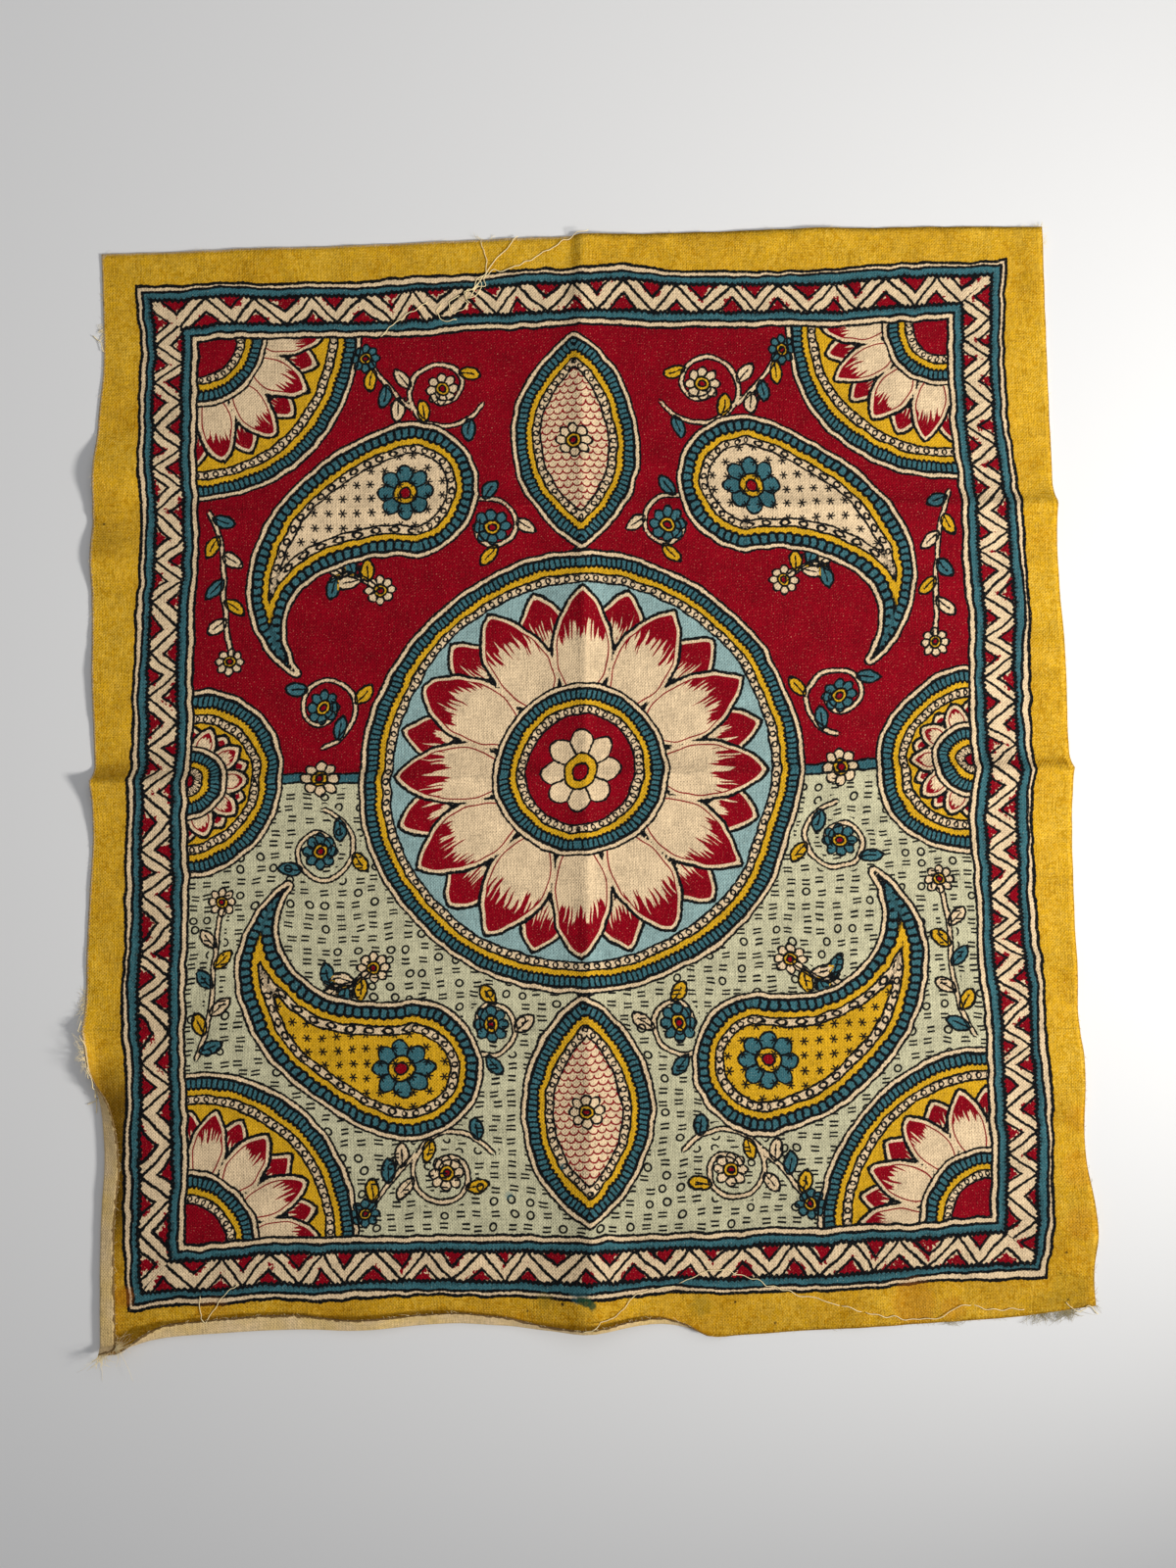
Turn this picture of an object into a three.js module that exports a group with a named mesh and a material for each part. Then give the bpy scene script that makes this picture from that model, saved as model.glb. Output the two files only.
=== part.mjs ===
// A hand-painted cotton panel, laid flat, with the creases of its folding still standing up in it
// and two of its margins turned over on themselves.
// Millimetres. X runs across the cloth and Y up its length, both counted from its middle, and Z is
// the height above the surface that it lies on.
import * as THREE from 'three';

// The cloth
const thickness = 1;
const clothColour = 0xb98a1e;

// Corners of the cut sheet, as if nothing were turned over
const corners = {
  bottomLeft: { x: -266.5, y: -284 },
  bottomRight: { x: 251, y: -274.5 },
  topRight: { x: 252, y: 291 },
  topLeft: { x: -251.5, y: 291.5 },
};

// How far each hand-cut edge stands outside the straight line between its corners.
// at: distance along the edge, from its left or bottom corner
const leftEdge = [
  { at: 0, out: 0 },
  { at: 104, out: 1.4 },
  { at: 182, out: 1.3 },
  { at: 219, out: 0.9 },
  { at: 277, out: -1.4 },
  { at: 358, out: 0.9 },
  { at: 410, out: 2.3 },
  { at: 452, out: 1 },
  { at: 486, out: 0.2 },
  { at: 516, out: -2.1 },
  { at: 576, out: 0 },
];
const rightEdge = [
  { at: 0, out: 0 },
  { at: 15, out: -0.2 },
  { at: 38, out: 2 },
  { at: 80, out: -1.4 },
  { at: 125, out: -0.1 },
  { at: 143, out: -1.8 },
  { at: 195, out: -1 },
  { at: 318, out: 0.6 },
  { at: 433, out: -1.1 },
  { at: 565, out: 0 },
];
const topEdge = [
  { at: 0, out: 0 },
  { at: 61, out: -0.1 },
  { at: 77, out: 1.8 },
  { at: 108, out: 0.6 },
  { at: 255, out: 2.4 },
  { at: 439, out: 1.9 },
  { at: 503, out: 0 },
];
const bottomEdge = [
  { at: 0, out: 0 },
  { at: 41, out: 0.5 },
  { at: 56, out: 2.5 },
  { at: 110, out: -0.9 },
  { at: 188, out: 5.5 },
  { at: 238, out: 1 },
  { at: 258, out: 4.4 },
  { at: 315, out: 5.8 },
  { at: 383, out: 4.7 },
  { at: 472, out: 3.7 },
  { at: 518, out: 0 },
];
const edgeReach = 24; // an edge's unevenness dies away over this distance into the cloth

// Margins turned up and over, face inwards. inset: distance of the fold from the cut edge;
// angle: how far the margin is turned, in degrees; radius: of the bend, in mid-thickness
const leftTurn = [
  { at: 0, inset: 11, angle: 174, radius: 1.15 },
  { at: 60, inset: 9.8, angle: 174, radius: 1.15 },
  { at: 97, inset: 9.6, angle: 166, radius: 1.2 },
  { at: 110, inset: 8.8, angle: 146, radius: 1.5 },
  { at: 119, inset: 8.2, angle: 130, radius: 1.8 },
  { at: 133, inset: 7.4, angle: 112, radius: 2.2 },
  { at: 144, inset: 7, angle: 92, radius: 3 },
  { at: 155, inset: 7, angle: 52, radius: 5 },
  { at: 168, inset: 7, angle: 16, radius: 8 },
  { at: 182, inset: 7, angle: 0, radius: 8 },
  { at: 576, inset: 7, angle: 0, radius: 8 },
];
const bottomTurn = [
  { at: 0, inset: 5, angle: 20, radius: 4 },
  { at: 12, inset: 5.6, angle: 40, radius: 4 },
  { at: 22, inset: 6.6, angle: 80, radius: 3.7 },
  { at: 29, inset: 7.4, angle: 130, radius: 2 },
  { at: 41, inset: 8.4, angle: 168, radius: 1.2 },
  { at: 56, inset: 10, angle: 174, radius: 1.15 },
  { at: 110, inset: 8.6, angle: 174, radius: 1.15 },
  { at: 134, inset: 7.6, angle: 166, radius: 1.2 },
  { at: 188, inset: 10.4, angle: 174, radius: 1.15 },
  { at: 216, inset: 7.4, angle: 170, radius: 1.15 },
  { at: 238, inset: 4.8, angle: 160, radius: 1.2 },
  { at: 258, inset: 6.2, angle: 166, radius: 1.2 },
  { at: 292, inset: 7.6, angle: 172, radius: 1.15 },
  { at: 308, inset: 6, angle: 160, radius: 1.2 },
  { at: 316, inset: 5, angle: 100, radius: 2 },
  { at: 324, inset: 4.4, angle: 30, radius: 4 },
  { at: 334, inset: 4.4, angle: 0, radius: 4 },
  { at: 518, inset: 4.4, angle: 0, radius: 4 },
];

// Standing creases. Each crest runs through its rows; height is over the flat cloth, and the two
// reaches are how far its slopes run out, towards the smaller and the larger coordinate.
const uprightCrease = [
  { y: -280, x: -7.5, height: 8.6, reachLess: 34, reachMore: 30 },
  { y: -235, x: -6.5, height: 5, reachLess: 32, reachMore: 26 },
  { y: -126, x: -4.4, height: 2.6, reachLess: 28, reachMore: 22 },
  { y: 5, x: -1.4, height: 2.4, reachLess: 28, reachMore: 22 },
  { y: 155, x: 1.6, height: 2.2, reachLess: 26, reachMore: 20 },
  { y: 250, x: 3.2, height: 3, reachLess: 26, reachMore: 20 },
  { y: 294, x: 3.7, height: 4.6, reachLess: 30, reachMore: 22 },
];
const levelCreases = {
  upper: [
    { x: -260, y: 151, height: 0.4, reachLess: 16, reachMore: 12 },
    { x: -125, y: 150, height: 1.2, reachLess: 24, reachMore: 16 },
    { x: 4, y: 148, height: 2, reachLess: 28, reachMore: 16 },
    { x: 134, y: 144, height: 2.4, reachLess: 30, reachMore: 16 },
    { x: 252, y: 140, height: 5.2, reachLess: 36, reachMore: 14 },
  ],
  middle: [
    { x: -260, y: 8.6, height: 6.4, reachLess: 40, reachMore: 20 },
    { x: -128, y: 6.4, height: 3.2, reachLess: 34, reachMore: 18 },
    { x: 0, y: 5, height: 3, reachLess: 34, reachMore: 18 },
    { x: 128, y: 2.8, height: 3, reachLess: 38, reachMore: 18 },
    { x: 252, y: 0.4, height: 6, reachLess: 52, reachMore: 20 },
  ],
  lower: [
    { x: -262, y: -119, height: 2.6, reachLess: 20, reachMore: 16 },
    { x: -130, y: -123.5, height: 1.8, reachLess: 20, reachMore: 14 },
    { x: -4, y: -126.5, height: 1.8, reachLess: 20, reachMore: 14 },
    { x: 122, y: -129, height: 1.2, reachLess: 20, reachMore: 14 },
    { x: 250, y: -130.5, height: 0.4, reachLess: 16, reachMore: 14 },
  ],
};
const crestSoftness = 0.07; // rounding of a crest, as a part of its reach

// Soft lifts between the creases, mostly along the free edges
const lifts = [
  { x: -266, y: 171, height: 5, reachX: 74, reachY: 26 },
  { x: -266, y: 128, height: 3, reachX: 60, reachY: 22 },
  { x: -262, y: 60, height: 1.4, reachX: 40, reachY: 34 },
  { x: 254, y: -230, height: 3.4, reachX: 46, reachY: 30 },
  { x: 254, y: -104, height: 1.8, reachX: 40, reachY: 24 },
  { x: 254, y: -160, height: 2, reachX: 44, reachY: 26 },
  { x: 256, y: 60, height: 1.6, reachX: 36, reachY: 40 },
  { x: -160, y: 296, height: 1.6, reachX: 30, reachY: 24 },
  { x: 120, y: 296, height: 1.4, reachX: 44, reachY: 22 },
  { x: 130, y: -280, height: 1.6, reachX: 40, reachY: 22 },
  { x: -120, y: -276, height: 1.6, reachX: 26, reachY: 24 },
];

// Mesh lines. The first two counts cover the turned margin and its bend; the sections after them
// run from the fold to the far edge, each up to a part of the whole width or length.
const flapSteps = 2;
const bendSteps = 7;
const flapShare = { least: 0.25, most: 0.6 }; // of a margin's width, outside its bend
const acrossSections = [
  { to: 0.06, steps: 4 },
  { to: 0.44, steps: 7 },
  { to: 0.49, steps: 3 },
  { to: 0.504, steps: 2 },
  { to: 0.518, steps: 2 },
  { to: 0.575, steps: 3 },
  { to: 0.64, steps: 7 },
  { to: 0.94, steps: 5 },
  { to: 1, steps: 2 },
];
const alongSections = [
  { to: 0.06, steps: 2 },
  { to: 0.15, steps: 2 },
  { to: 0.24, steps: 4 },
  { to: 0.3, steps: 5 },
  { to: 0.42, steps: 3 },
  { to: 0.485, steps: 3 },
  { to: 0.52, steps: 6 },
  { to: 0.68, steps: 5 },
  { to: 0.73, steps: 3 },
  { to: 0.78, steps: 5 },
  { to: 0.86, steps: 3 },
  { to: 1, steps: 3 },
];
const normalStep = 1e-4; // of the whole width or length, for the slope at a point

// A smooth curve through a table's rows: the value of one column where another column is at.
function follow(rows, key, at, column) {
  const last = rows.length - 1;
  let i = 0;
  while (i < last - 1 && at > rows[i + 1][key]) i += 1;
  const span = rows[i + 1][key] - rows[i][key];
  const u = THREE.MathUtils.clamp((at - rows[i][key]) / span, 0, 1);
  const slopeAt = (j) => {
    const before = rows[Math.max(j - 1, 0)];
    const after = rows[Math.min(j + 1, last)];
    return (after[column] - before[column]) / (after[key] - before[key]);
  };
  const start = rows[i][column];
  const end = rows[i + 1][column];
  const rise = (end - start) * u * u * (3 - 2 * u);
  const bow = span * u * (1 - u) * (slopeAt(i) * (1 - u) - slopeAt(i + 1) * u);
  return start + rise + bow;
}

const distance = (a, b) => Math.hypot(b.x - a.x, b.y - a.y);
const sideLengths = {
  left: distance(corners.bottomLeft, corners.topLeft),
  right: distance(corners.bottomRight, corners.topRight),
  bottom: distance(corners.bottomLeft, corners.bottomRight),
  top: distance(corners.topLeft, corners.topRight),
};
const fade = (far) => Math.max(1 - far / edgeReach, 0) ** 2;

// A point of the cut sheet, from its parts across and along, before anything is turned over.
function flatPoint(across, along) {
  const mix = (a, b, part) => a + (b - a) * part;
  const bottomX = mix(corners.bottomLeft.x, corners.bottomRight.x, across);
  const topX = mix(corners.topLeft.x, corners.topRight.x, across);
  const bottomY = mix(corners.bottomLeft.y, corners.bottomRight.y, across);
  const topY = mix(corners.topLeft.y, corners.topRight.y, across);
  const width = mix(sideLengths.bottom, sideLengths.top, along);
  const length = mix(sideLengths.left, sideLengths.right, across);
  const left = follow(leftEdge, 'at', along * sideLengths.left, 'out') * fade(across * width);
  const right = follow(rightEdge, 'at', along * sideLengths.right, 'out') * fade((1 - across) * width);
  const bottom = follow(bottomEdge, 'at', across * sideLengths.bottom, 'out') * fade(along * length);
  const top = follow(topEdge, 'at', across * sideLengths.top, 'out') * fade((1 - along) * length);
  return {
    x: mix(bottomX, topX, along) + right - left,
    y: mix(bottomY, topY, along) + top - bottom,
  };
}

// Height of one crease: full at its crest, falling ever more gently to nothing at its reach.
function creaseHeight(rows, key, other, point) {
  const at = THREE.MathUtils.clamp(point[key], rows[0][key], rows[rows.length - 1][key]);
  const off = point[other] - follow(rows, key, at, other);
  const reach = follow(rows, key, at, off < 0 ? 'reachLess' : 'reachMore');
  const part = Math.hypot(off / reach, crestSoftness) - crestSoftness;
  return follow(rows, key, at, 'height') * Math.max(1 - part, 0) ** 2;
}

// Height of the cloth over its flat lie: the creases merge, and the lifts add to them.
function heightAt(point) {
  const heights = [creaseHeight(uprightCrease, 'y', 'x', point)];
  for (const rows of Object.values(levelCreases)) heights.push(creaseHeight(rows, 'x', 'y', point));
  const merged = Math.hypot(...heights);
  let raised = 0;
  for (const lift of lifts) {
    const far = Math.hypot((point.x - lift.x) / lift.reachX, (point.y - lift.y) / lift.reachY);
    raised += lift.height * Math.max(1 - far * far, 0) ** 2;
  }
  return merged + raised;
}

// The turn of a margin at a distance along it.
const turnAt = (rows, at) => ({
  inset: follow(rows, 'at', at, 'inset'),
  angle: THREE.MathUtils.degToRad(follow(rows, 'at', at, 'angle')),
  radius: follow(rows, 'at', at, 'radius'),
});

// Carries what lies beyond a fold round an arc and straight on: beyond is the distance past the
// fold, above the height over the cloth. Returns the new distance past the fold and height.
function turnOver(beyond, above, turn) {
  if (beyond <= 0 || turn.angle <= 0) return { out: beyond, up: above };
  const turned = Math.min(beyond / turn.radius, turn.angle);
  const rest = Math.max(beyond - turn.radius * turn.angle, 0);
  const inner = turn.radius - above;
  return {
    out: inner * Math.sin(turned) + rest * Math.cos(turned),
    up: turn.radius - inner * Math.cos(turned) + rest * Math.sin(turned),
  };
}

// The left margin as it is turned over: where the point then lies across, and how high.
function turnLeft(across, fromBottom) {
  const turn = turnAt(leftTurn, fromBottom);
  const turned = turnOver(turn.inset - across * sideLengths.bottom, 0, turn);
  return { fromLeft: turn.inset - turned.out, up: turned.up };
}

// A point of the middle of the cloth's thickness as it lies: the left margin is turned over first,
// and the bottom margin after it, with what lies on it.
function layPoint(across, along) {
  const flat = flatPoint(across, along);
  const fromBottom = along * sideLengths.left;
  const left = turnLeft(across, fromBottom);
  const turn = turnAt(bottomTurn, left.fromLeft);
  const bottom = turnOver(turn.inset - fromBottom, left.up, turn);
  return new THREE.Vector3(
    flat.x + left.fromLeft - across * sideLengths.bottom,
    flat.y + turn.inset - bottom.out - fromBottom,
    thickness / 2 + heightAt(flat) + bottom.up,
  );
}

// The cloth's upward side at a point, square to the slopes on both sides of it.
function layNormal(across, along) {
  const near = (value) => Math.max(value - normalStep, 0);
  const far = (value) => Math.min(value + normalStep, 1);
  const eastward = layPoint(far(across), along).sub(layPoint(near(across), along));
  const northward = layPoint(across, far(along)).sub(layPoint(across, near(along)));
  return eastward.cross(northward).normalize();
}

// The mesh lines from a cut edge: over the turned margin, round its bend, and on to the far edge.
function meshLines(turn, wholeSize, sections) {
  const flap = 1 - (turn.radius * turn.angle) / turn.inset;
  const bendStart = turn.inset * THREE.MathUtils.clamp(flap, flapShare.least, flapShare.most);
  const lines = [0];
  const addSection = (to, steps) => {
    const from = lines[lines.length - 1];
    for (let k = 1; k <= steps; k += 1) lines.push(from + ((to - from) * k) / steps);
  };
  addSection(bendStart / wholeSize, flapSteps);
  addSection(turn.inset / wholeSize, bendSteps);
  for (const section of sections) addSection(section.to, section.steps);
  return lines;
}

// The closed sheet: a net of points on its upper side, one on its lower side, and walls between.
function clothGeometry() {
  const plainRows = meshLines(turnAt(bottomTurn, 0), sideLengths.left, alongSections);
  const rowCount = plainRows.length;
  const columnCount = meshLines(turnAt(leftTurn, 0), sideLengths.bottom, acrossSections).length;
  const upper = [];
  const lower = [];
  for (let row = 0; row < rowCount; row += 1) {
    const fromBottom = plainRows[row] * sideLengths.left;
    const columns = meshLines(turnAt(leftTurn, fromBottom), sideLengths.bottom, acrossSections);
    for (const across of columns) {
      const turn = turnAt(bottomTurn, turnLeft(across, fromBottom).fromLeft);
      const along = meshLines(turn, sideLengths.left, alongSections)[row];
      const middle = layPoint(across, along);
      const offset = layNormal(across, along).multiplyScalar(thickness / 2);
      upper.push(middle.clone().add(offset));
      lower.push(middle.clone().sub(offset));
    }
  }
  const points = [...upper, ...lower];
  const at = (row, column) => row * columnCount + column;
  const under = (index) => index + upper.length;
  const triangles = [];
  const addSquare = (a, b, c, d) => triangles.push(a, b, c, a, c, d);
  for (let row = 0; row < rowCount - 1; row += 1) {
    for (let column = 0; column < columnCount - 1; column += 1) {
      const a = at(row, column);
      const b = at(row, column + 1);
      const c = at(row + 1, column + 1);
      const d = at(row + 1, column);
      addSquare(a, b, c, d);
      addSquare(under(d), under(c), under(b), under(a));
    }
  }
  for (let column = 0; column < columnCount - 1; column += 1) {
    const a = at(0, column);
    const b = at(0, column + 1);
    const c = at(rowCount - 1, column);
    const d = at(rowCount - 1, column + 1);
    addSquare(under(a), under(b), b, a);
    addSquare(c, d, under(d), under(c));
  }
  for (let row = 0; row < rowCount - 1; row += 1) {
    const a = at(row, 0);
    const b = at(row + 1, 0);
    const c = at(row, columnCount - 1);
    const d = at(row + 1, columnCount - 1);
    addSquare(a, b, under(b), under(a));
    addSquare(under(c), under(d), d, c);
  }
  const geometry = new THREE.BufferGeometry().setFromPoints(points);
  geometry.setIndex(triangles);
  geometry.computeVertexNormals();
  return geometry;
}

// Stands the sheet with the middle of its base at the origin.
function standOnOrigin(geometry) {
  geometry.computeBoundingBox();
  const { min, max } = geometry.boundingBox;
  geometry.translate(-(min.x + max.x) / 2, -(min.y + max.y) / 2, -min.z);
  return geometry;
}

const clothMaterial = new THREE.MeshStandardMaterial({
  color: clothColour,
  roughness: 0.92,
  metalness: 0,
});
const cloth = new THREE.Mesh(standOnOrigin(clothGeometry()), clothMaterial);
cloth.name = 'panel_cloth';

const panel = new THREE.Group();
panel.add(cloth);
export default panel;
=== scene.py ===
import math

import bpy
import numpy as np
from mathutils import Matrix, Vector


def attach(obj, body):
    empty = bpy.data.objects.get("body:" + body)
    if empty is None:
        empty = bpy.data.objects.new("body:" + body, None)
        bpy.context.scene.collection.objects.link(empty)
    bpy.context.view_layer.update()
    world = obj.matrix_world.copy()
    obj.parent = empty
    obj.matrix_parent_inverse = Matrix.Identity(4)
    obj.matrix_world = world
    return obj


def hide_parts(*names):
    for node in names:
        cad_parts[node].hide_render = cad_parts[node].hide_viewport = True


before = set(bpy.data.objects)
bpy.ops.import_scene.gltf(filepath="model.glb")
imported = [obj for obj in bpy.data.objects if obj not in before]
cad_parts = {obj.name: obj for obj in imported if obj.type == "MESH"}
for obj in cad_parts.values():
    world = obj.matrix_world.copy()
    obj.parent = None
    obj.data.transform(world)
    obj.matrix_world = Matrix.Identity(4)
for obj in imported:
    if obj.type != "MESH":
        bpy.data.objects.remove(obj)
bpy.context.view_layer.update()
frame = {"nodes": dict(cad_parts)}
mm = 0.001
print("frame loaded:", ", ".join(frame["nodes"]))

# Lengths are in millimetres, in the frame in which the cloth was cut: x across it, y up its length.
# This point of that frame lies over the middle of the panel's box.
boxMiddle = (-5.2, 5.0)


# The cloth

panelCloth = {
    "thickness": 0.6,
    # corners of the cut sheet, as if nothing were turned over
    "bottomLeft": (-266.5, -284),
    "bottomRight": (251, -274.5),
    "topRight": (252, 291),
    "topLeft": (-251.5, 291.5),
    # how far each hand-cut edge stands outside the straight line between its corners
    "leftEdge": {
        "at": (0, 104, 182, 219, 277, 358, 410, 452, 486, 516, 576),
        "out": (0, 1.4, 1.3, 0.9, -1.4, 0.9, 2.3, 1, 0.2, -2.1, 0),
    },
    "rightEdge": {
        "at": (0, 15, 38, 80, 125, 143, 195, 318, 433, 565),
        "out": (0, -0.2, 2, -1.4, -0.1, -1.8, -1, 0.6, -1.1, 0),
    },
    "topEdge": {
        "at": (0, 61, 77, 108, 255, 439, 503),
        "out": (0, 0.2, 0.8, 0.6, 2.4, 1.9, 0),
    },
    "bottomEdge": {
        "at": (0, 41, 56, 110, 188, 238, 258, 315, 383, 472, 518),
        "out": (0, 0.5, 2.5, -0.9, 5.5, 1, 4.4, 5.8, 4.7, 3.7, 0),
    },
    "edgeReach": 24,
    # margins turned up and over: distance of the fold from the edge, degrees turned, bend's radius
    "leftTurn": {
        "at": (0, 60, 97, 115, 130, 144, 155, 168, 182, 576),
        "inset": (11, 10.6, 12.2, 11.5, 9.5, 7.4, 7, 7, 7, 7),
        "angle": (174, 172, 166, 158, 148, 96, 52, 16, 0, 0),
        "radius": (1.15, 1.15, 1.2, 1.3, 1.5, 2.8, 5, 8, 8, 8),
    },
    "bottomTurn": {
        "at": (0, 12, 22, 29, 41, 56, 110, 134, 188, 216, 238, 258, 292, 308, 316, 324, 334, 518),
        "inset": (5, 5.6, 6.8, 8, 9.2, 10.8, 9.6, 9, 11.4, 8.4, 5.2, 6.4, 7.8, 6, 5, 4.4, 4.4, 4.4),
        "angle": (20, 40, 80, 130, 168, 174, 174, 166, 174, 170, 160, 166, 172, 160, 100, 30, 0, 0),
        "radius": (4, 4, 3.7, 2, 1.2, 1.15, 1.15, 1.2, 1.15, 1.15, 1.2, 1.2, 1.15, 1.2, 2, 4, 4, 4),
    },
    # standing creases: each crest's line, its height, how far its slopes run out on both sides,
    # how rounded it is and how high the sharp ridge on it stands
    "uprightCrease": {
        "y": (-280, -235, -126, 5, 155, 250, 272, 294),
        "x": (-6.5, -6, -4.4, -1.4, 1.6, 3.2, 3.9, 4.5),
        "height": (8.6, 5, 2.6, 2.4, 2.2, 2.2, 2.2, 2.6),
        "reachLess": (40, 34, 28, 28, 26, 14, 8, 6),
        "reachMore": (38, 30, 22, 22, 20, 30, 44, 52),
        "rounding": (0.22, 0.1, 0.03, 0.03, 0.03, 0.03, 0.05, 0.05),
        "ridge": (0, 0.5, 0.9, 0.9, 0.9, 0.6, 0.2, 0),
    },
    "levelCreases": (
        {
            "x": (-260, -125, 4, 134, 252),
            "y": (151, 150, 148, 144, 140),
            "height": (0.4, 1.2, 2, 2.4, 5.2),
            "reachLess": (16, 24, 28, 30, 36),
            "reachMore": (12, 16, 16, 16, 13),
            "rounding": (0.03, 0.03, 0.03, 0.03, 0.03),
            "ridge": (0.9, 0.9, 0.9, 0.9, 1),
        },
        {
            "x": (-260, -128, 0, 128, 252),
            "y": (8.6, 6.4, 5, 2.8, 0.4),
            "height": (6.4, 3.2, 3, 3, 5.2),
            "reachLess": (40, 34, 34, 38, 46),
            "reachMore": (9, 14, 16, 15, 9),
            "rounding": (0.02, 0.03, 0.03, 0.03, 0.02),
            "ridge": (1, 0.9, 0.9, 1.1, 1.7),
        },
        {
            "x": (-262, -130, -4, 122, 250),
            "y": (-119, -123.5, -126.5, -130, -134),
            "height": (2.6, 1.8, 1.8, 1.2, 1.2),
            "reachLess": (20, 20, 20, 20, 22),
            "reachMore": (16, 14, 14, 12, 10),
            "rounding": (0.03, 0.03, 0.03, 0.03, 0.1),
            "ridge": (0.9, 0.9, 0.9, 0.8, 0.3),
        },
    ),
    "ridgeWidth": 2.6,
    # soft lifts between the creases: middle x and y, height, reach across and along
    "lifts": (
        (-266, 171, 5, 74, 26),
        (-266, 128, 3, 60, 22),
        (-262, 60, 1.4, 40, 34),
        (254, -230, 3.4, 46, 30),
        (254, -104, 1.8, 40, 24),
        (254, -160, 2, 44, 26),
        (256, 60, 1.6, 36, 40),
        (-160, 296, 0.6, 30, 24),
        (120, 296, 1.4, 44, 22),
        (130, -280, 1.6, 40, 22),
        (-120, -276, 1.6, 26, 24),
    ),
    # seeded waves of the lie: shortest and longest wave, height, count
    "waves": ((70, 140, 0.30, 9), (22, 55, 0.12, 14), (8, 16, 0.05, 22)),
    "seed": 7,
    "waveFloor": 0.05,  # how softly the waves' hollows are held up off the surface below
    # small gathers beside the creases: middle, reach across and along, wave, height
    "puckers": (
        (-9, -262, 16, 13, 6.5, 0.5),
        (-2, -240, 12, 14, 8, 0.3),
        (-246, 4, 16, 10, 7, 0.3),
        (240, 2, 14, 12, 8, 0.35),
        (4, 284, 12, 10, 6, 0.35),
        (-236, -262, 14, 12, 7, 0.35),
    ),
    "puckerBend": (1.5, 5),  # how far a gather's ripples bend, and over what distance
    # flutter of the cut edges; they lie about so far on both sides of this middle
    "flutter": {"wave": 19, "height": 0.35, "reach": 14, "middle": (-5, 5), "halfSize": (256, 288)},
    # lines of the net: over a turned margin, round its bend, then sections (up to this part, steps)
    "flapSteps": 4,
    "bendSteps": 9,
    "flapShare": (0.25, 0.6),
    "acrossSections": ((0.1, 15), (0.9, 219), (1, 18)),
    "alongSections": ((0.1, 18), (0.905, 246), (1, 18)),
    "backEvery": 3,
    # the map for baking, in parts of its square
    "bakeMap": {
        "faceWidth": 0.88,
        "backStart": 0.89,
        "backWidth": 0.08,
        "wallStart": 0.975,
        "wallStep": 0.006,
        "margin": 0.002,
    },
}


# Eased curve through a table: each value is blended into the next, and bowed by the slopes there
def follow(table, key, at, column):
    keys = np.array(table[key], float)
    values = np.array(table[column], float)
    last = len(keys) - 1
    rows = np.arange(last + 1)
    before = np.maximum(rows - 1, 0)
    after = np.minimum(rows + 1, last)
    slope = (values[after] - values[before]) / (keys[after] - keys[before])
    at = np.clip(at, keys[0], keys[last])
    i = np.clip(np.searchsorted(keys, at, side="right") - 1, 0, last - 1)
    span = keys[i + 1] - keys[i]
    u = (at - keys[i]) / span
    rise = (values[i + 1] - values[i]) * u * u * (3 - 2 * u)
    bow = span * u * (1 - u) * (slope[i] * (1 - u) - slope[i + 1] * u)
    return values[i] + rise + bow


# Straight blend from a to b
def mix(a, b, part):
    return a + (b - a) * part


def sideLength(start, end):
    return math.dist(panelCloth[start], panelCloth[end])


leftLength = sideLength("bottomLeft", "topLeft")
rightLength = sideLength("bottomRight", "topRight")
bottomLength = sideLength("bottomLeft", "bottomRight")
topLength = sideLength("topLeft", "topRight")


# Point of the flat sheet: blend of its four corners, plus each edge's unevenness fading inwards
def flatPoint(across, along):
    bottomLeft, bottomRight = panelCloth["bottomLeft"], panelCloth["bottomRight"]
    topLeft, topRight = panelCloth["topLeft"], panelCloth["topRight"]
    width = mix(bottomLength, topLength, along)
    length = mix(leftLength, rightLength, across)

    def uneven(edge, at, far):
        fade = np.maximum(1 - far / panelCloth["edgeReach"], 0) ** 2
        return follow(panelCloth[edge], "at", at, "out") * fade

    left = uneven("leftEdge", along * leftLength, across * width)
    right = uneven("rightEdge", along * rightLength, (1 - across) * width)
    bottom = uneven("bottomEdge", across * bottomLength, along * length)
    top = uneven("topEdge", across * topLength, (1 - along) * length)
    bottomX = mix(bottomLeft[0], bottomRight[0], across)
    topX = mix(topLeft[0], topRight[0], across)
    bottomY = mix(bottomLeft[1], bottomRight[1], across)
    topY = mix(topLeft[1], topRight[1], across)
    return mix(bottomX, topX, along) + right - left, mix(bottomY, topY, along) + top - bottom


# Height of a crease: full at its crest, less by the square of the part of its reach that is left,
# and its sharp ridge, which fades out evenly within a few ridge widths
def creaseHeight(table, key, other, at, off):
    reachLess = follow(table, key, at, "reachLess")
    reachMore = follow(table, key, at, "reachMore")
    off = off - follow(table, key, at, other)
    reach = np.where(off < 0, reachLess, reachMore)
    rounding = follow(table, key, at, "rounding")
    part = np.hypot(off / reach, rounding) - rounding
    slopes = follow(table, key, at, "height") * np.maximum(1 - part, 0) ** 2
    return slopes, follow(table, key, at, "ridge") * np.exp(-np.abs(off) / panelCloth["ridgeWidth"])


# Signed distances to the upright crease and to the nearest level one
def creaseDistances(x, y):
    upright = panelCloth["uprightCrease"]
    fromUpright = x - follow(upright, "y", y, "x")
    offs = np.stack([y - follow(table, "x", x, "y") for table in panelCloth["levelCreases"]])
    nearest = np.abs(offs).argmin(0)[None]
    return fromUpright, np.take_along_axis(offs, nearest, 0)[0]


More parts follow.
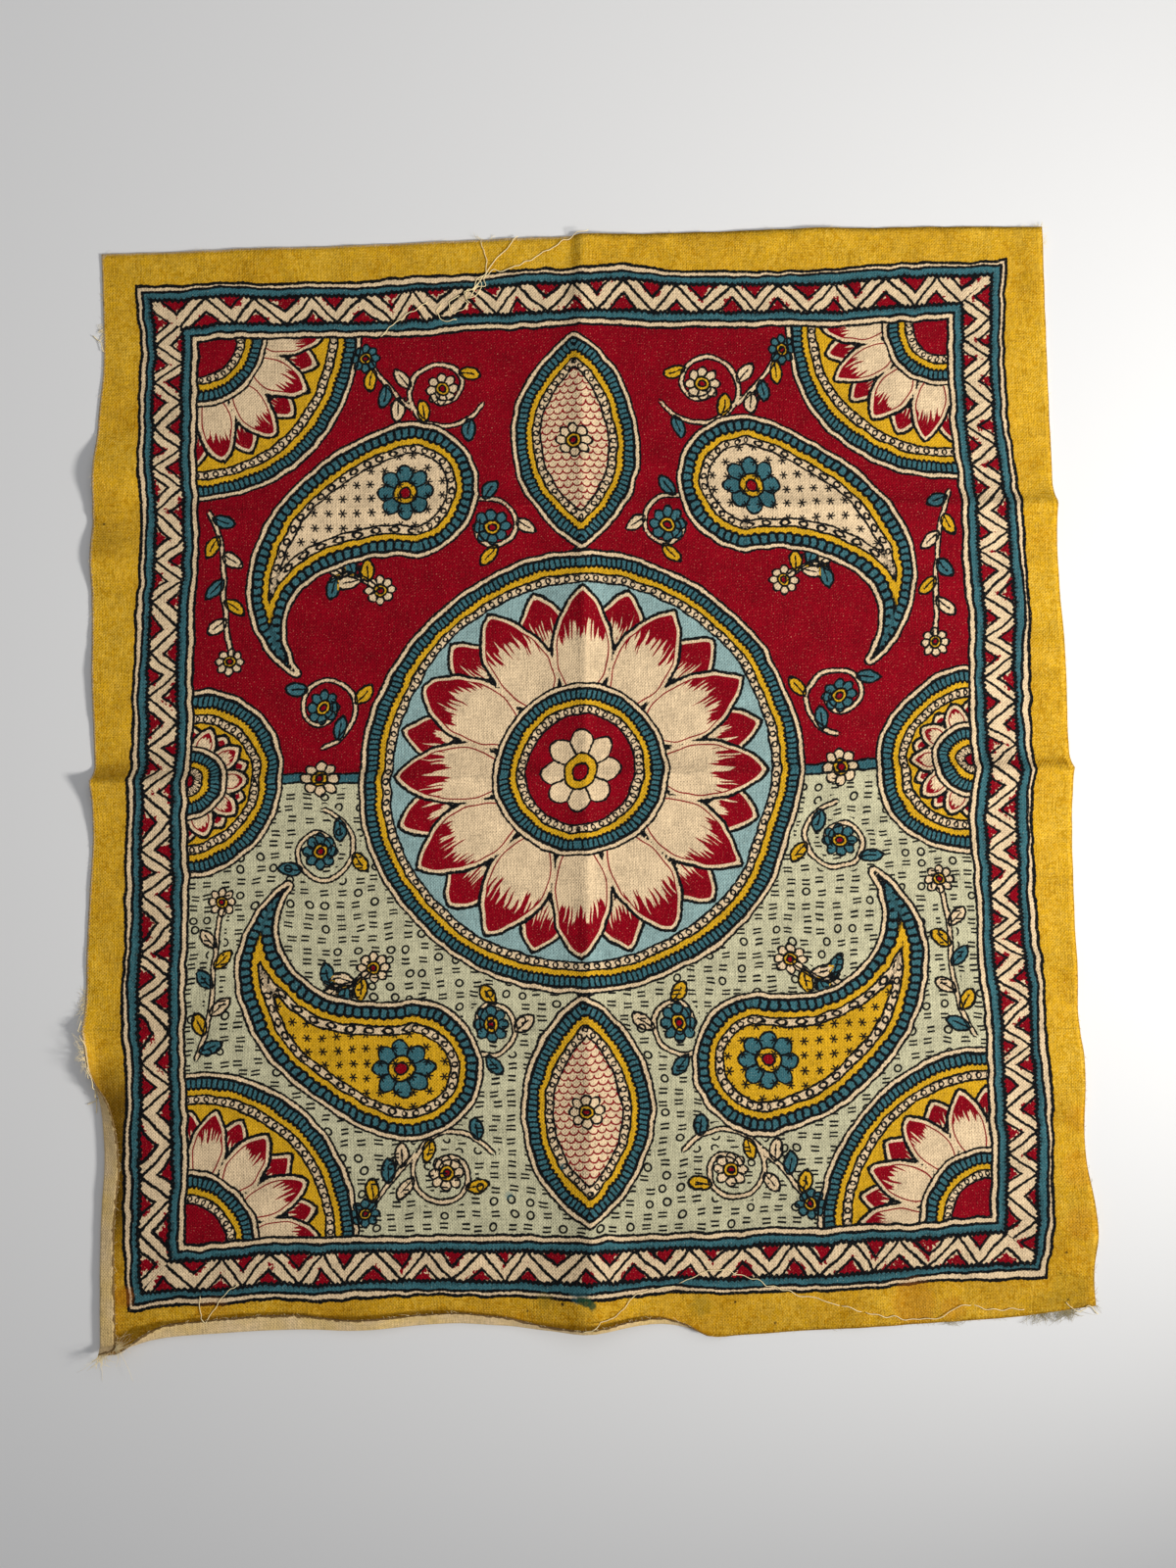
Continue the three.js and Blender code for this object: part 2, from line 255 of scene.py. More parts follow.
# Sum of sine waves with seeded directions, lengths and phases, about 1 high
def waveField(x, y, shortest, longest, count, seed):
    random = np.random.default_rng(seed)
    total = np.zeros_like(x)
    for _ in range(count):
        turn = random.uniform(0, math.tau)
        pace = math.tau / random.uniform(shortest, longest)
        total += np.sin((x * math.cos(turn) + y * math.sin(turn)) * pace + random.uniform(0, math.tau))
    return total / math.sqrt(count / 2)


# Height of the cloth's lie: creases merged as a root of squares, then lifts, gathers, the edges'
# flutter and seeded waves added, the waves' hollows rounded up to the surface
def heightAt(x, y):
    slopes, ridge = creaseHeight(panelCloth["uprightCrease"], "y", "x", y, x)
    squares = slopes * slopes
    for table in panelCloth["levelCreases"]:
        slopes, levelRidge = creaseHeight(table, "x", "y", x, y)
        squares = squares + slopes * slopes
        ridge = np.maximum(ridge, levelRidge)
    raised = np.sqrt(squares) + ridge
    for liftX, liftY, height, reachX, reachY in panelCloth["lifts"]:
        far = np.hypot((x - liftX) / reachX, (y - liftY) / reachY)
        raised = raised + height * np.maximum(1 - far * far, 0) ** 2
    waves = np.zeros_like(x)
    for k, (shortest, longest, height, count) in enumerate(panelCloth["waves"]):
        waves = waves + height * waveField(x, y, shortest, longest, count, panelCloth["seed"] + k)
    bend, bendReach = panelCloth["puckerBend"]
    for middleX, middleY, reachX, reachY, wave, height in panelCloth["puckers"]:
        far = np.hypot((x - middleX) / reachX, (y - middleY) / reachY)
        ripple = 1 + np.sin(y * math.tau / wave + bend * np.sin(x / bendReach))
        raised = raised + height / 2 * ripple * np.maximum(1 - far * far, 0) ** 2
    flutter = panelCloth["flutter"]
    ripple = waveField(x, y, flutter["wave"] * 0.7, flutter["wave"] * 1.5, 8, panelCloth["seed"] + 20)
    middleX, middleY = flutter["middle"]
    halfWidth, halfLength = flutter["halfSize"]
    edge = np.minimum(halfWidth - np.abs(x - middleX), halfLength - np.abs(y - middleY))
    fade = np.clip(1 - edge / flutter["reach"], 0, 1) ** 2
    raised = raised + flutter["height"] * (1 + ripple / 2) * fade
    return raised + (waves + np.sqrt(waves * waves + panelCloth["waveFloor"])) / 2


# How a margin is turned at places along its edge: the fold's distance, the turn and its radius
def turnAt(table, at):
    inset = follow(table, "at", at, "inset")
    angle = np.radians(follow(table, "at", at, "angle"))
    noTurn = 1e-6  # keeps the arc's length above nothing
    return inset, np.maximum(angle, noTurn), follow(table, "at", at, "radius")


# What lies beyond a fold goes round an arc and then straight on: distance past the fold, height
def turnOver(beyond, above, turn):
    inset, angle, radius = turn
    turned = np.clip(beyond / radius, 0, angle)
    rest = np.maximum(beyond - radius * angle, 0)
    inner = radius - above
    out = inner * np.sin(turned) + rest * np.cos(turned)
    up = radius - inner * np.cos(turned) + rest * np.sin(turned)
    return np.where(beyond > 0, out, beyond), np.where(beyond > 0, up, above)


# Where the left turned margin brings a point: distance from the sheet's left edge line, height
def turnLeft(across, fromBottom):
    turn = turnAt(panelCloth["leftTurn"], fromBottom)
    out, up = turnOver(turn[0] - across * bottomLength, 0, turn)
    return turn[0] - out, up


# Middle of the cloth's thickness as it lies: left margin turned first, the bottom one after it
def layPoint(across, along):
    x, y = flatPoint(across, along)
    fromBottom = along * leftLength
    fromLeft, up = turnLeft(across, fromBottom)
    turn = turnAt(panelCloth["bottomTurn"], fromLeft)
    out, up = turnOver(turn[0] - fromBottom, up, turn)
    lieX = x + fromLeft - across * bottomLength
    lieY = y + turn[0] - out - fromBottom
    return np.stack((lieX, lieY, heightAt(x, y) + up + panelCloth["thickness"] / 2), -1)


# Each line of the net as a sum: so much of the bend's start, so much of the fold, and a constant
def lineWeights(sections):
    flapSteps, bendSteps = panelCloth["flapSteps"], panelCloth["bendSteps"]
    rows = [(k / flapSteps, 0, 0) for k in range(flapSteps + 1)]
    rows += [(1 - k / bendSteps, k / bendSteps, 0) for k in range(1, bendSteps + 1)]
    reached = None
    for to, steps in sections:
        for k in range(1, steps + 1):
            if reached is None:
                rows.append((0, 1 - k / steps, to * k / steps))
            else:
                rows.append((0, 0, mix(reached, to, k / steps)))
        reached = to
    return np.array(rows).T


# Places of the net's lines from the edge, as parts of the sheet: the bend starts half its arc's
# length before the fold, between two shares of the margin
def netLines(turn, wholeSize, weights):
    inset, angle, radius = turn
    least, most = panelCloth["flapShare"]
    bendStart = inset * np.clip(1 - radius * angle / inset, least, most)
    return weights[0] * bendStart / wholeSize + weights[1] * inset / wholeSize + weights[2]


# The net's parts across and along at every crossing of its lines
def clothNet():
    rowWeights = lineWeights(panelCloth["alongSections"])
    columnWeights = lineWeights(panelCloth["acrossSections"])[:, None, :]
    corner = turnAt(panelCloth["bottomTurn"], np.zeros(1))
    plainRows = netLines(corner, leftLength, rowWeights)[:, None]
    leftTurn = turnAt(panelCloth["leftTurn"], plainRows * leftLength)
    across = netLines(leftTurn, bottomLength, columnWeights)
    fromLeft, _ = turnLeft(across, plainRows * leftLength)
    bottomTurn = turnAt(panelCloth["bottomTurn"], fromLeft)
    along = netLines(bottomTurn, leftLength, rowWeights[:, :, None])
    return across, along


# Faces of a net of points as squares, seen from above if it isn't reversed
def netFaces(index, reverse=False):
    a, b = index[:-1, :-1], index[:-1, 1:]
    c, d = index[1:, 1:], index[1:, :-1]
    order = (d, c, b, a) if reverse else (a, b, c, d)
    return np.stack(order, -1).reshape(-1, 4).tolist()


# Wall between a fine edge and a coarse one: one face for each step of the coarse edge
def wallFaces(fine, coarse, kept, reverse):
    faces = []
    for k in range(len(kept) - 1):
        face = fine[kept[k]:kept[k + 1] + 1].tolist() + [coarse[k + 1], coarse[k]]
        faces.append(face[::-1] if reverse else face)
    return faces


# Lines of the net that the back keeps: all round the bends, and one in a few elsewhere
def keptLines(count):
    bendEnd = panelCloth["flapSteps"] + panelCloth["bendSteps"]
    return np.concatenate((np.arange(bendEnd), np.arange(bendEnd, count, panelCloth["backEvery"])))


# The closed sheet: a fine net on its painted side, a coarser one on its back, and walls between
def clothMesh():
    across, along = clothNet()
    middle = layPoint(across, along)
    normal = np.cross(np.gradient(middle, axis=1), np.gradient(middle, axis=0))
    normal /= np.linalg.norm(normal, axis=-1, keepdims=True)
    upper = middle + normal * panelCloth["thickness"] / 2
    lower = middle - normal * panelCloth["thickness"] / 2
    rows, columns = across.shape
    keptRows, keptColumns = keptLines(rows), keptLines(columns)
    lower = lower[np.ix_(keptRows, keptColumns)]
    front = np.arange(rows * columns).reshape(rows, columns)
    back = np.arange(lower.shape[0] * lower.shape[1]).reshape(lower.shape[:2]) + front.size
    faces = netFaces(front)
    frontCount = len(faces)
    faces += netFaces(back, reverse=True)
    backCount = len(faces) - frontCount
    faces += wallFaces(front[0], back[0].tolist(), keptColumns, True)
    faces += wallFaces(front[-1], back[-1].tolist(), keptColumns, False)
    faces += wallFaces(front[:, 0], back[:, 0].tolist(), keptRows, False)
    faces += wallFaces(front[:, -1], back[:, -1].tolist(), keptRows, True)
    points = np.concatenate((upper.reshape(-1, 3), lower.reshape(-1, 3)))
    points[:, :2] -= boxMiddle
    points[:, 2] -= points[:, 2].min()
    mesh = bpy.data.meshes.new("panelCloth")
    mesh.from_pydata((points * mm).tolist(), [], faces)
    slots = np.ones(len(faces), np.int32)
    slots[:frontCount] = 0
    mesh.polygons.foreach_set("material_index", slots)
    mesh.polygons.foreach_set("use_smooth", np.arange(len(faces)) < frontCount + backCount)
    return mesh, across, along, np.ix_(keptRows, keptColumns)


clothData, netAcross, netAlong, backPick = clothMesh()
cloth = bpy.data.objects.new("panelCloth", clothData)
bpy.context.scene.collection.objects.link(cloth)
print("cloth laid:", len(clothData.vertices), "points,", len(clothData.polygons), "faces")


# The painting's layout, worked out on the cloth's own points

paintedDesign = {
    # where the border's outer line runs on the sheet
    "halfWidth": 233,
    "halfLength": 267,
    "leftLine": {
        "y": (-262, -244, -182, -94, -69, -18, 46, 98, 150, 203, 243, 270),
        "x": (
            -242.5, -244.3, -243.7, -243.1, -242.1, -240.2, -236.8, -234.7, -231.8, -232.4, -230.8, -233,
        ),
    },
    "rightLine": {
        "y": (-259, -243, -219, -157, -94, -56, -24, 8, 34, 86, 112, 152, 191, 231, 274),
        "x": (
            226.9, 229.7, 231.7, 233.4, 231, 231, 229.6, 231.9, 232.8, 234.1, 233.5, 231.6, 228.8, 229.2,
            231.5,
        ),
    },
    "bottomLine": {
        "x": (-242, -188, -126, -51, -25, 12, 87, 137, 188, 227),
        "y": (-262, -259.2, -259.3, -259.9, -261.9, -262, -262.1, -261.7, -259.3, -259.6),
    },
    "topLine": {
        "x": (-230, -178, -125, -73, -20, 19, 58, 111, 137, 189, 231),
        "y": (272.6, 273.5, 272.7, 273.5, 275.9, 276, 273.1, 271, 271.5, 272.7, 274.2),
    },
    # unsteadiness of the hand: shortest and longest wave, height, count
    "handWaves": ((30, 90, 0.5, 10), (8, 20, 0.22, 16)),
    "seed": 41,
    # how many outer triangles each side has, and how much tighter they are at its start
    "zigzags": {"top": (16, 0.0), "bottom": (17, 0.02), "left": (20, -0.16), "right": (23, 0.03)},
    # depths of the border's bands from its outer line
    "border": {
        "outerTeal": 3.1,
        "outerScallops": 6.8,
        "zigzag": 7.8,
        "innerScallops": 23.4,
        "innerLine": 27.4,
        "fieldLine": 30.8,
        "field": 31,
    },
    # round figures: middle, outer ring, beads in it, inner ring, beads in it, filling
    "rounds": (
        (0, 0, 112, 248, 42, 92, 1),
        (202, 236, 84, 188, 33, 72, 2),
        (202, 0, 46, 104, 17, 40, 3),
    ),
    "innerRingReach": 8,  # how far outside an inner ring its own bands may run
    # rings of petals: middle, count, foot, tip, half width
    "petalRings": (
        (0, 0, 12, 40, 97, 16.4),
        (202, 236, 14, 31, 68, 10.4),
        (202, 0, 10, 15, 31, 6.6),
    ),
    "petalMargin": 12,  # how far beyond their tips the petals' distances are worked out
    # pointed oval above and below the middle: its middle, half width, half length, beads
    "pendant": {"middle": 174, "halfWidth": 31, "halfLength": 55, "beads": 92, "filling": 4},
    # curved drop in each quarter: four guide points of its spine, width at its head, beads
    "drop": {
        "spineX": (90, 142, 188, 150),
        "spineY": (152, 148, 98, 56),
        "headRadius": 34,
        "beads": 94,
        "filling": 5,
    },
    # stems: middle of the scroll, radius at its start and end, angle at its start, turns
    "scrolls": (
        (71, 206, 25, 6, 205, 1.35),
        (134, 38, 21, 6, 265, -1.3),
        (47, 130, 17, 7, 60, 0.9),
    ),
    # other stems, through guide points
    "stems": (
        ((112, 224), (104, 214), (96, 202), (88, 196)),
        ((196, 142), (184, 120), (190, 92), (184, 66)),
        ((108, 100), (116, 108), (124, 112), (130, 106)),
    ),
    # flowers: place, radius, kind
    "flowers": (
        (71, 206, 9, 0), (134, 38, 9, 1), (134, 0, 9.5, 0), (47, 130, 9.5, 1), (112, 224, 7.5, 1),
        (184, 62, 7.5, 0), (106, 99, 8, 0), (0, 0, 21, 0), (92, 151, 15, 1), (0, 174, 9, 0),
    ),
    # leaves along every stem: parts of its length, length, half width
    "leafParts": (0.06, 0.2, 0.34, 0.48, 0.62, 0.76, 0.9),
    "leafLength": 13,
    "leafHalfWidth": 3.4,
    "leafLean": 46,
    "leafRoom": (0.3, 0.62),  # room that a flower and another leaf need, in leaf lengths
}


# Place in the painting: how far between the border's left and right, bottom and top lines
def designPoint(x, y):
    left = follow(paintedDesign["leftLine"], "y", y, "x")
    right = follow(paintedDesign["rightLine"], "y", y, "x")
    bottom = follow(paintedDesign["bottomLine"], "x", x, "y")
    top = follow(paintedDesign["topLine"], "x", x, "y")
    halfWidth, halfLength = paintedDesign["halfWidth"], paintedDesign["halfLength"]
    a = 2 * halfWidth * (x - left) / (right - left) - halfWidth
    b = 2 * halfLength * (y - bottom) / (top - bottom) - halfLength
    seed = paintedDesign["seed"]
    for k, (shortest, longest, height, count) in enumerate(paintedDesign["handWaves"]):
        a = a + height * waveField(x, y, shortest, longest, count, seed + k)
        b = b + height * waveField(x, y, shortest, longest, count, seed + 10 + k)
    return a, b


# Distance to the nearest of a line's straight steps, the side it lies on (1 left, -1 right), the
# part of the way along the line, and whether the place is inside, if the line is closed
def nearLine(x, y, lineX, lineY, closed=False):
    nextX, nextY = np.roll(lineX, -1), np.roll(lineY, -1)
    steps = len(lineX) if closed else len(lineX) - 1
    stepX, stepY = nextX - lineX, nextY - lineY
    lengths = np.hypot(stepX, stepY)[:steps]
    starts = np.concatenate(((0,), np.cumsum(lengths)))
    nearest = np.full(x.shape, 1e9)
    side = np.ones(x.shape)
    run = np.zeros(x.shape)
    inside = np.zeros(x.shape, bool)
    for k in range(steps):
        offX, offY = x - lineX[k], y - lineY[k]
        part = np.clip((offX * stepX[k] + offY * stepY[k]) / lengths[k] ** 2, 0, 1)
        far = np.hypot(offX - part * stepX[k], offY - part * stepY[k])
        closer = far < nearest
        nearest = np.where(closer, far, nearest)
        side = np.where(closer, np.sign(stepX[k] * offY - stepY[k] * offX), side)
        run = np.where(closer, starts[k] + part * lengths[k], run)
        if closed:
            level = (lineY[k] > y) != (nextY[k] > y)
            slope = stepX[k] / stepY[k] if stepY[k] else 0
            inside ^= level & (x < lineX[k] + slope * offY)
    return nearest, side, run / starts[-1], inside


# Smooth curve with two end points and two points that draw it towards them
def guidedCurve(pointsX, pointsY, count):
    t = np.linspace(0, 1, count)
    weights = ((1 - t) ** 3, 3 * t * (1 - t) ** 2, 3 * t * t * (1 - t), t ** 3)
    return sum(w * x for w, x in zip(weights, pointsX)), sum(w * y for w, y in zip(weights, pointsY))


# Spiral whose radius runs from its start's to its end's a little faster at first
def scrollCurve(middleX, middleY, startRadius, endRadius, startAngle, turns):
    t = np.linspace(0, 1, 44)
    angle = np.radians(startAngle) + math.tau * turns * t
    radius = mix(startRadius, endRadius, t ** 0.8)
    return middleX + radius * np.cos(angle), middleY + radius * np.sin(angle)


# Half of a petal widens from its foot and runs to a point, by the product of two powers; the other
# half mirrors it
def petalOutline(foot, tip, halfWidth):
    part = np.linspace(0, 1, 24)
    fullest = 0.409  # the greatest value of the product
    width = halfWidth / fullest * (part + 0.1) ** 0.7 * (1 - part) ** 0.8
    along = mix(foot, tip, part)
    return np.concatenate((along, along[-2::-1])), np.concatenate((width, -width[-2::-1]))


# Two arcs that meet in points above and below
def pendantOutline():
    pendant = paintedDesign["pendant"]
    halfWidth, halfLength = pendant["halfWidth"], pendant["halfLength"]
    radius = (halfLength ** 2 + halfWidth ** 2) / (2 * halfWidth)
    reach = math.asin(halfLength / radius)
    angle = np.linspace(-reach, reach, 26)
    x = radius * np.cos(angle) - radius + halfWidth
    y = radius * np.sin(angle) + pendant["middle"]
    return np.concatenate((x, -x[-2:0:-1])), np.concatenate((y, y[-2:0:-1]))


# A round head, and a spine from it whose width falls away to the tip, laid off to both sides
def dropOutline():
    drop = paintedDesign["drop"]
    x, y = guidedCurve(drop["spineX"], drop["spineY"], 40)
    heading = np.arctan2(np.gradient(y), np.gradient(x))
    width = drop["headRadius"] * (1 - np.linspace(0, 1, 40)) ** 1.05
    left = (x - width * np.sin(heading), y + width * np.cos(heading))
    right = (x + width * np.sin(heading), y - width * np.cos(heading))
    turn = heading[0] + np.linspace(math.pi / 2, 3 * math.pi / 2, 22)[1:-1]
    head = (x[0] + width[0] * np.cos(turn), y[0] + width[0] * np.sin(turn))
    outlineX = np.concatenate((right[0][:-1], left[0][::-1], head[0]))
    outlineY = np.concatenate((right[1][:-1], left[1][::-1], head[1]))
    return outlineX, outlineY


# Every stem of one quarter as a line of points
def stemLines():
    lines = [scrollCurve(*scroll) for scroll in paintedDesign["scrolls"]]
    for guides in paintedDesign["stems"]:
        xs, ys = zip(*guides)
        lines.append(guidedCurve(xs, ys, 24))
    return lines


# Leaves spring from both sides of the stems in turn, where there is room: root, direction, kind
def leafPlaces():
    places = []
    length = paintedDesign["leafLength"]
    besideFlower, besideLeaf = (room * length for room in paintedDesign["leafRoom"])
    taken = [(x, y, radius + besideFlower) for x, y, radius, _ in paintedDesign["flowers"]]
    for x, y in stemLines():
        heading = np.arctan2(np.gradient(y), np.gradient(x))
        for k, part in enumerate(paintedDesign["leafParts"]):
            i = int(part * (len(x) - 1))
            lean = math.radians(paintedDesign["leafLean"]) * (1 if k % 2 else -1)
            way = heading[i] + lean
            middle = (x[i] + math.cos(way) * length / 2, y[i] + math.sin(way) * length / 2)
            if all(math.dist(middle, (a, b)) > room for a, b, room in taken):
                places.append((x[i], y[i], way, k % 3))
                taken.append((*middle, besideLeaf))
    return places


# Of several shapes, each a distance field and values of its own: the nearest one's distance and values
def nearestOf(shapes):
    nearest, values = None, None
    for distance, own in shapes:
        own = np.stack(np.broadcast_arrays(distance, *own))[1:]
        if nearest is None:
            nearest, values = distance, own
        else:
            closer = distance < nearest
            nearest = np.where(closer, distance, nearest)
            values = np.where(closer, own, values)
    return nearest, values


# Signed distance to the figures' outer rings, to their inner rings, and the beads round them
def figureFields(u, v):
    inner = np.full(u.shape, 1e9)
    shapes = []
    for middleX, middleY, radius, beads, innerRadius, innerBeads, filling in paintedDesign["rounds"]:
        far = np.hypot(u - middleX, v - middleY)
        turn = np.arctan2(v - middleY, u - middleX) / math.tau + 1
        onOuter = far > innerRadius + paintedDesign["innerRingReach"]
        shapes.append((far - radius, (turn * np.where(onOuter, beads, innerBeads), filling)))
        inner = np.minimum(inner, far - innerRadius)
    for outline, figure in ((pendantOutline(), "pendant"), (dropOutline(), "drop")):
        nearest, _, around, inside = nearLine(u, v, *outline, closed=True)
        signed = np.where(inside, -nearest, nearest)
        figure = paintedDesign[figure]
        shapes.append((signed, (around * figure["beads"], figure["filling"])))
    outer, (run, filling) = nearestOf(shapes)
    return outer, inner, run, filling


# Signed distance to the front petals and to those behind them, the part from foot to tip, and
# the way round the ring, for the brush strokes
def petalFields(u, v):
    front = np.full(u.shape, 40.0)
    behind = np.full(u.shape, 40.0)
    reach = np.zeros(u.shape)
    around = np.zeros(u.shape)
    for middleX, middleY, count, foot, tip, halfWidth in paintedDesign["petalRings"]:
        far = np.hypot(u - middleX, v - middleY)
        turn = np.arctan2(v - middleY, u - middleX)
        near = far < tip + paintedDesign["petalMargin"]
        reach = np.where(near, (far - foot) / (tip - foot), reach)
        around = np.where(near, turn * tip, around)
        for layer, shift in ((front, 0.5), (behind, 0)):
            folded = (turn / math.tau * count + shift) % 1 - 0.5
            angle = folded / count * math.tau
            along, across = far * np.cos(angle), far * np.sin(angle)
            outline = petalOutline(foot, tip, halfWidth)
            nearest, _, _, inside = nearLine(along[near], across[near], *outline, closed=True)
            signed = np.where(inside, -nearest, nearest)
            layer[near] = np.minimum(layer[near], signed)
    return front, behind, reach, around


# Distance to the nearest stem, and the same with the sign of the side that the place lies on
def stemFields(u, v):
    shapes = []
    for x, y in stemLines():
        nearest, facing, _, _ = nearLine(u, v, x, y)
        shapes.append((nearest, (nearest * facing,)))
    far, (side,) = nearestOf(shapes)
    return side, far


# Signed distance to the nearest leaf, the space shared by two rounds, and the place within it
def leafFields(u, v):
    length, halfWidth = paintedDesign["leafLength"], paintedDesign["leafHalfWidth"]
    radius = (length ** 2 / 4 + halfWidth ** 2) / (2 * halfWidth)
    shapes = []
    for x, y, heading, kind in leafPlaces():
        along = (u - x) * math.cos(heading) + (v - y) * math.sin(heading)
        across = (v - y) * math.cos(heading) - (u - x) * math.sin(heading)
        far = np.hypot(along - length / 2, np.abs(across) + radius - halfWidth) - radius
        shapes.append((far, (along / length, across, kind)))
    return nearestOf(shapes)


# Distance beyond the nearest flower's reach, the place from its middle, and its size, which is
# less than nothing for the second kind
def flowerFields(u, v):
    shapes = []
    for x, y, radius, kind in paintedDesign["flowers"]:
        far = np.hypot(u - x, v - y) - radius
        shapes.append((far, (u - x, v - y, -radius if kind else radius)))
    return nearestOf(shapes)


# Zigzags counted from the left or bottom, with the hand's drift along each side
def zigzagCount(along, half, side):
    count, drift = paintedDesign["zigzags"][side]
    part = np.clip((along + half) / (2 * half), -0.1, 1.1)
    wobble = 0.05 * np.sin(part * 61)
    return count * (part + drift * part * (1 - part)) + wobble


# How far the cloth's cut edges are
def edgeDistance(across, along):
    fromSides = np.minimum(across, 1 - across) * bottomLength
    return np.minimum(fromSides, np.minimum(along, 1 - along) * leftLength)


# where painted shade falls on the margin beside its folds
foldShading = {
    "turn": (0.9, 1.8),  # a turned margin shades from this turn on, in radians, fully so much later
    "start": (40, 30),  # distance up the left edge where it starts, and over which it comes on
    "depth": 1.3,
    "reach": 8,
    # bands of painted shade across the left margin at its creases' ends: middle, half width, softness,
    # how dark
    "bands": ((13.5, 4.8, 2, 0.4), (138, 11, 5, 0.25)),
    "bandEnd": (225, 20),  # distance left of the middle where they start, and over which they come on
}


# Painted shade on the margin: beside the left turned margin, and in bands at its creases' ends
def foldShade(x, y):
    def comeOn(value, start, over):
        return np.clip((value - start) / over, 0, 1)

    fromBottom = netAlong * leftLength
    inset, angle, radius = turnAt(panelCloth["leftTurn"], fromBottom)
    turned = comeOn(angle, *foldShading["turn"]) * comeOn(fromBottom, *foldShading["start"])
    far = netAcross * bottomLength - 2 * inset
    shade = turned * np.clip(foldShading["depth"] - far / foldShading["reach"], 0, 1)
    for middle, half, softness, depth in foldShading["bands"]:
        band = np.clip((half - np.abs(y - middle)) / softness + 0.5, 0, 1)
        shade = np.maximum(shade, band * depth * comeOn(-x, *foldShading["bandEnd"]))
    return shade


# All the painting's fields by name, three to a name, and the place in the painting
def paintFields(x, y):
    a, b = designPoint(x, y)
    u, v = np.abs(a), np.abs(b)
    outer, inner, run, filling = figureFields(u, v)
    front, behind, reach, around = petalFields(u, v)
    side, far = stemFields(u, v)
    leafDistance, leaf = leafFields(u, v)
    flowerDistance, flower = flowerFields(u, v)
    zigzagDepth = paintedDesign["border"]["zigzag"]
    halfWidth = paintedDesign["halfWidth"] - zigzagDepth
    halfLength = paintedDesign["halfLength"] - zigzagDepth
    level = np.where(b > 0, zigzagCount(a, halfWidth, "top"), zigzagCount(a, halfWidth, "bottom"))
    upright = np.where(a > 0, zigzagCount(b, halfLength, "right"), zigzagCount(b, halfLength, "left"))
    fields = {
        "figure": (outer, inner, run),
        "petal": (front, behind, reach),
        "stem": (side, far, filling),
        "leaf": leaf,
        "flower": flower,
        "zigzag": (level, upright, around),
        "nearness": (leafDistance, flowerDistance, edgeDistance(netAcross, netAlong)),
        # the crease fields end with the painted shade beside the margin's folds
        "crease": (*creaseDistances(x, y), foldShade(x, y)),
    }
    return a, b, fields


# A net's values at every point of the mesh: the painted side's, then those that the back keeps
def atAllPoints(net):
    size = net.shape[2:]
    return np.concatenate((net.reshape(-1, *size), net[backPick].reshape(-1, *size)))


# The point at every corner of the mesh's faces
def cornerPoints(mesh):
    corners = np.zeros(len(mesh.loops), np.int32)
    mesh.loops.foreach_get("vertex_index", corners)
    return corners


# A map on the mesh, from a place for every corner
def addMap(mesh, name, places):
    layer = mesh.uv_layers.new(name=name)
    layer.data.foreach_set("uv", places.astype(np.float32).ravel())


# Puts the painting's fields on the mesh's points, and its places into the mesh's own maps
def addPaintFields(mesh):
    x, y = flatPoint(netAcross, netAlong)
    a, b, fields = paintFields(x, y)
    farthest = 400
    for name, parts in fields.items():
        values = atAllPoints(np.stack([np.clip(part, -farthest, farthest) for part in parts], -1))
        layer = mesh.attributes.new(name, "FLOAT_VECTOR", "POINT")
        layer.data.foreach_set("vector", values.astype(np.float32).ravel())
    corners = cornerPoints(mesh)
    addMap(mesh, "design", atAllPoints(np.stack((a, b), -1) * mm)[corners])
    addMap(mesh, "threads", atAllPoints(np.stack((x, y), -1) * mm)[corners])


# A map of the whole piece in one square, for baking: the painted side over most of it, then the back
# in a strip that is widest towards its left margin, and the four walls as lines beside that
def addBakeMap(mesh):
    layout = panelCloth["bakeMap"]
    rows, columns = netAcross.shape
    backRows, backColumns = (pick.size for pick in backPick)
    counts = [(rows - 1) * (columns - 1), (backRows - 1) * (backColumns - 1)]
    counts += [backColumns - 1] * 2 + [backRows - 1] * 2
    cornerCounts = np.zeros(len(mesh.polygons), np.int32)
    mesh.polygons.foreach_get("loop_total", cornerCounts)
    part = np.repeat(np.repeat(np.arange(len(counts)), counts), cornerCounts)
    corners = cornerPoints(mesh)
    across, along = atAllPoints(netAcross)[corners], atAllPoints(netAlong)[corners]
    wallLine = part - 2 + (corners >= netAcross.size) * 0.5
    backU = layout["backStart"] + layout["backWidth"] * np.sqrt(across)
    wallU = layout["wallStart"] + layout["wallStep"] * wallLine
    u = np.select((part == 0, part == 1), (across * layout["faceWidth"], backU), wallU)
    v = np.where((part == 2) | (part == 3), across, along)
    places = np.stack((u, v), -1)
    addMap(mesh, "OFBake", places * (1 - 2 * layout["margin"]) + layout["margin"])


addPaintFields(clothData)
addBakeMap(clothData)
print("painting laid out:", ", ".join(layer.name for layer in clothData.uv_layers))


# Loose yarns and frayed edges

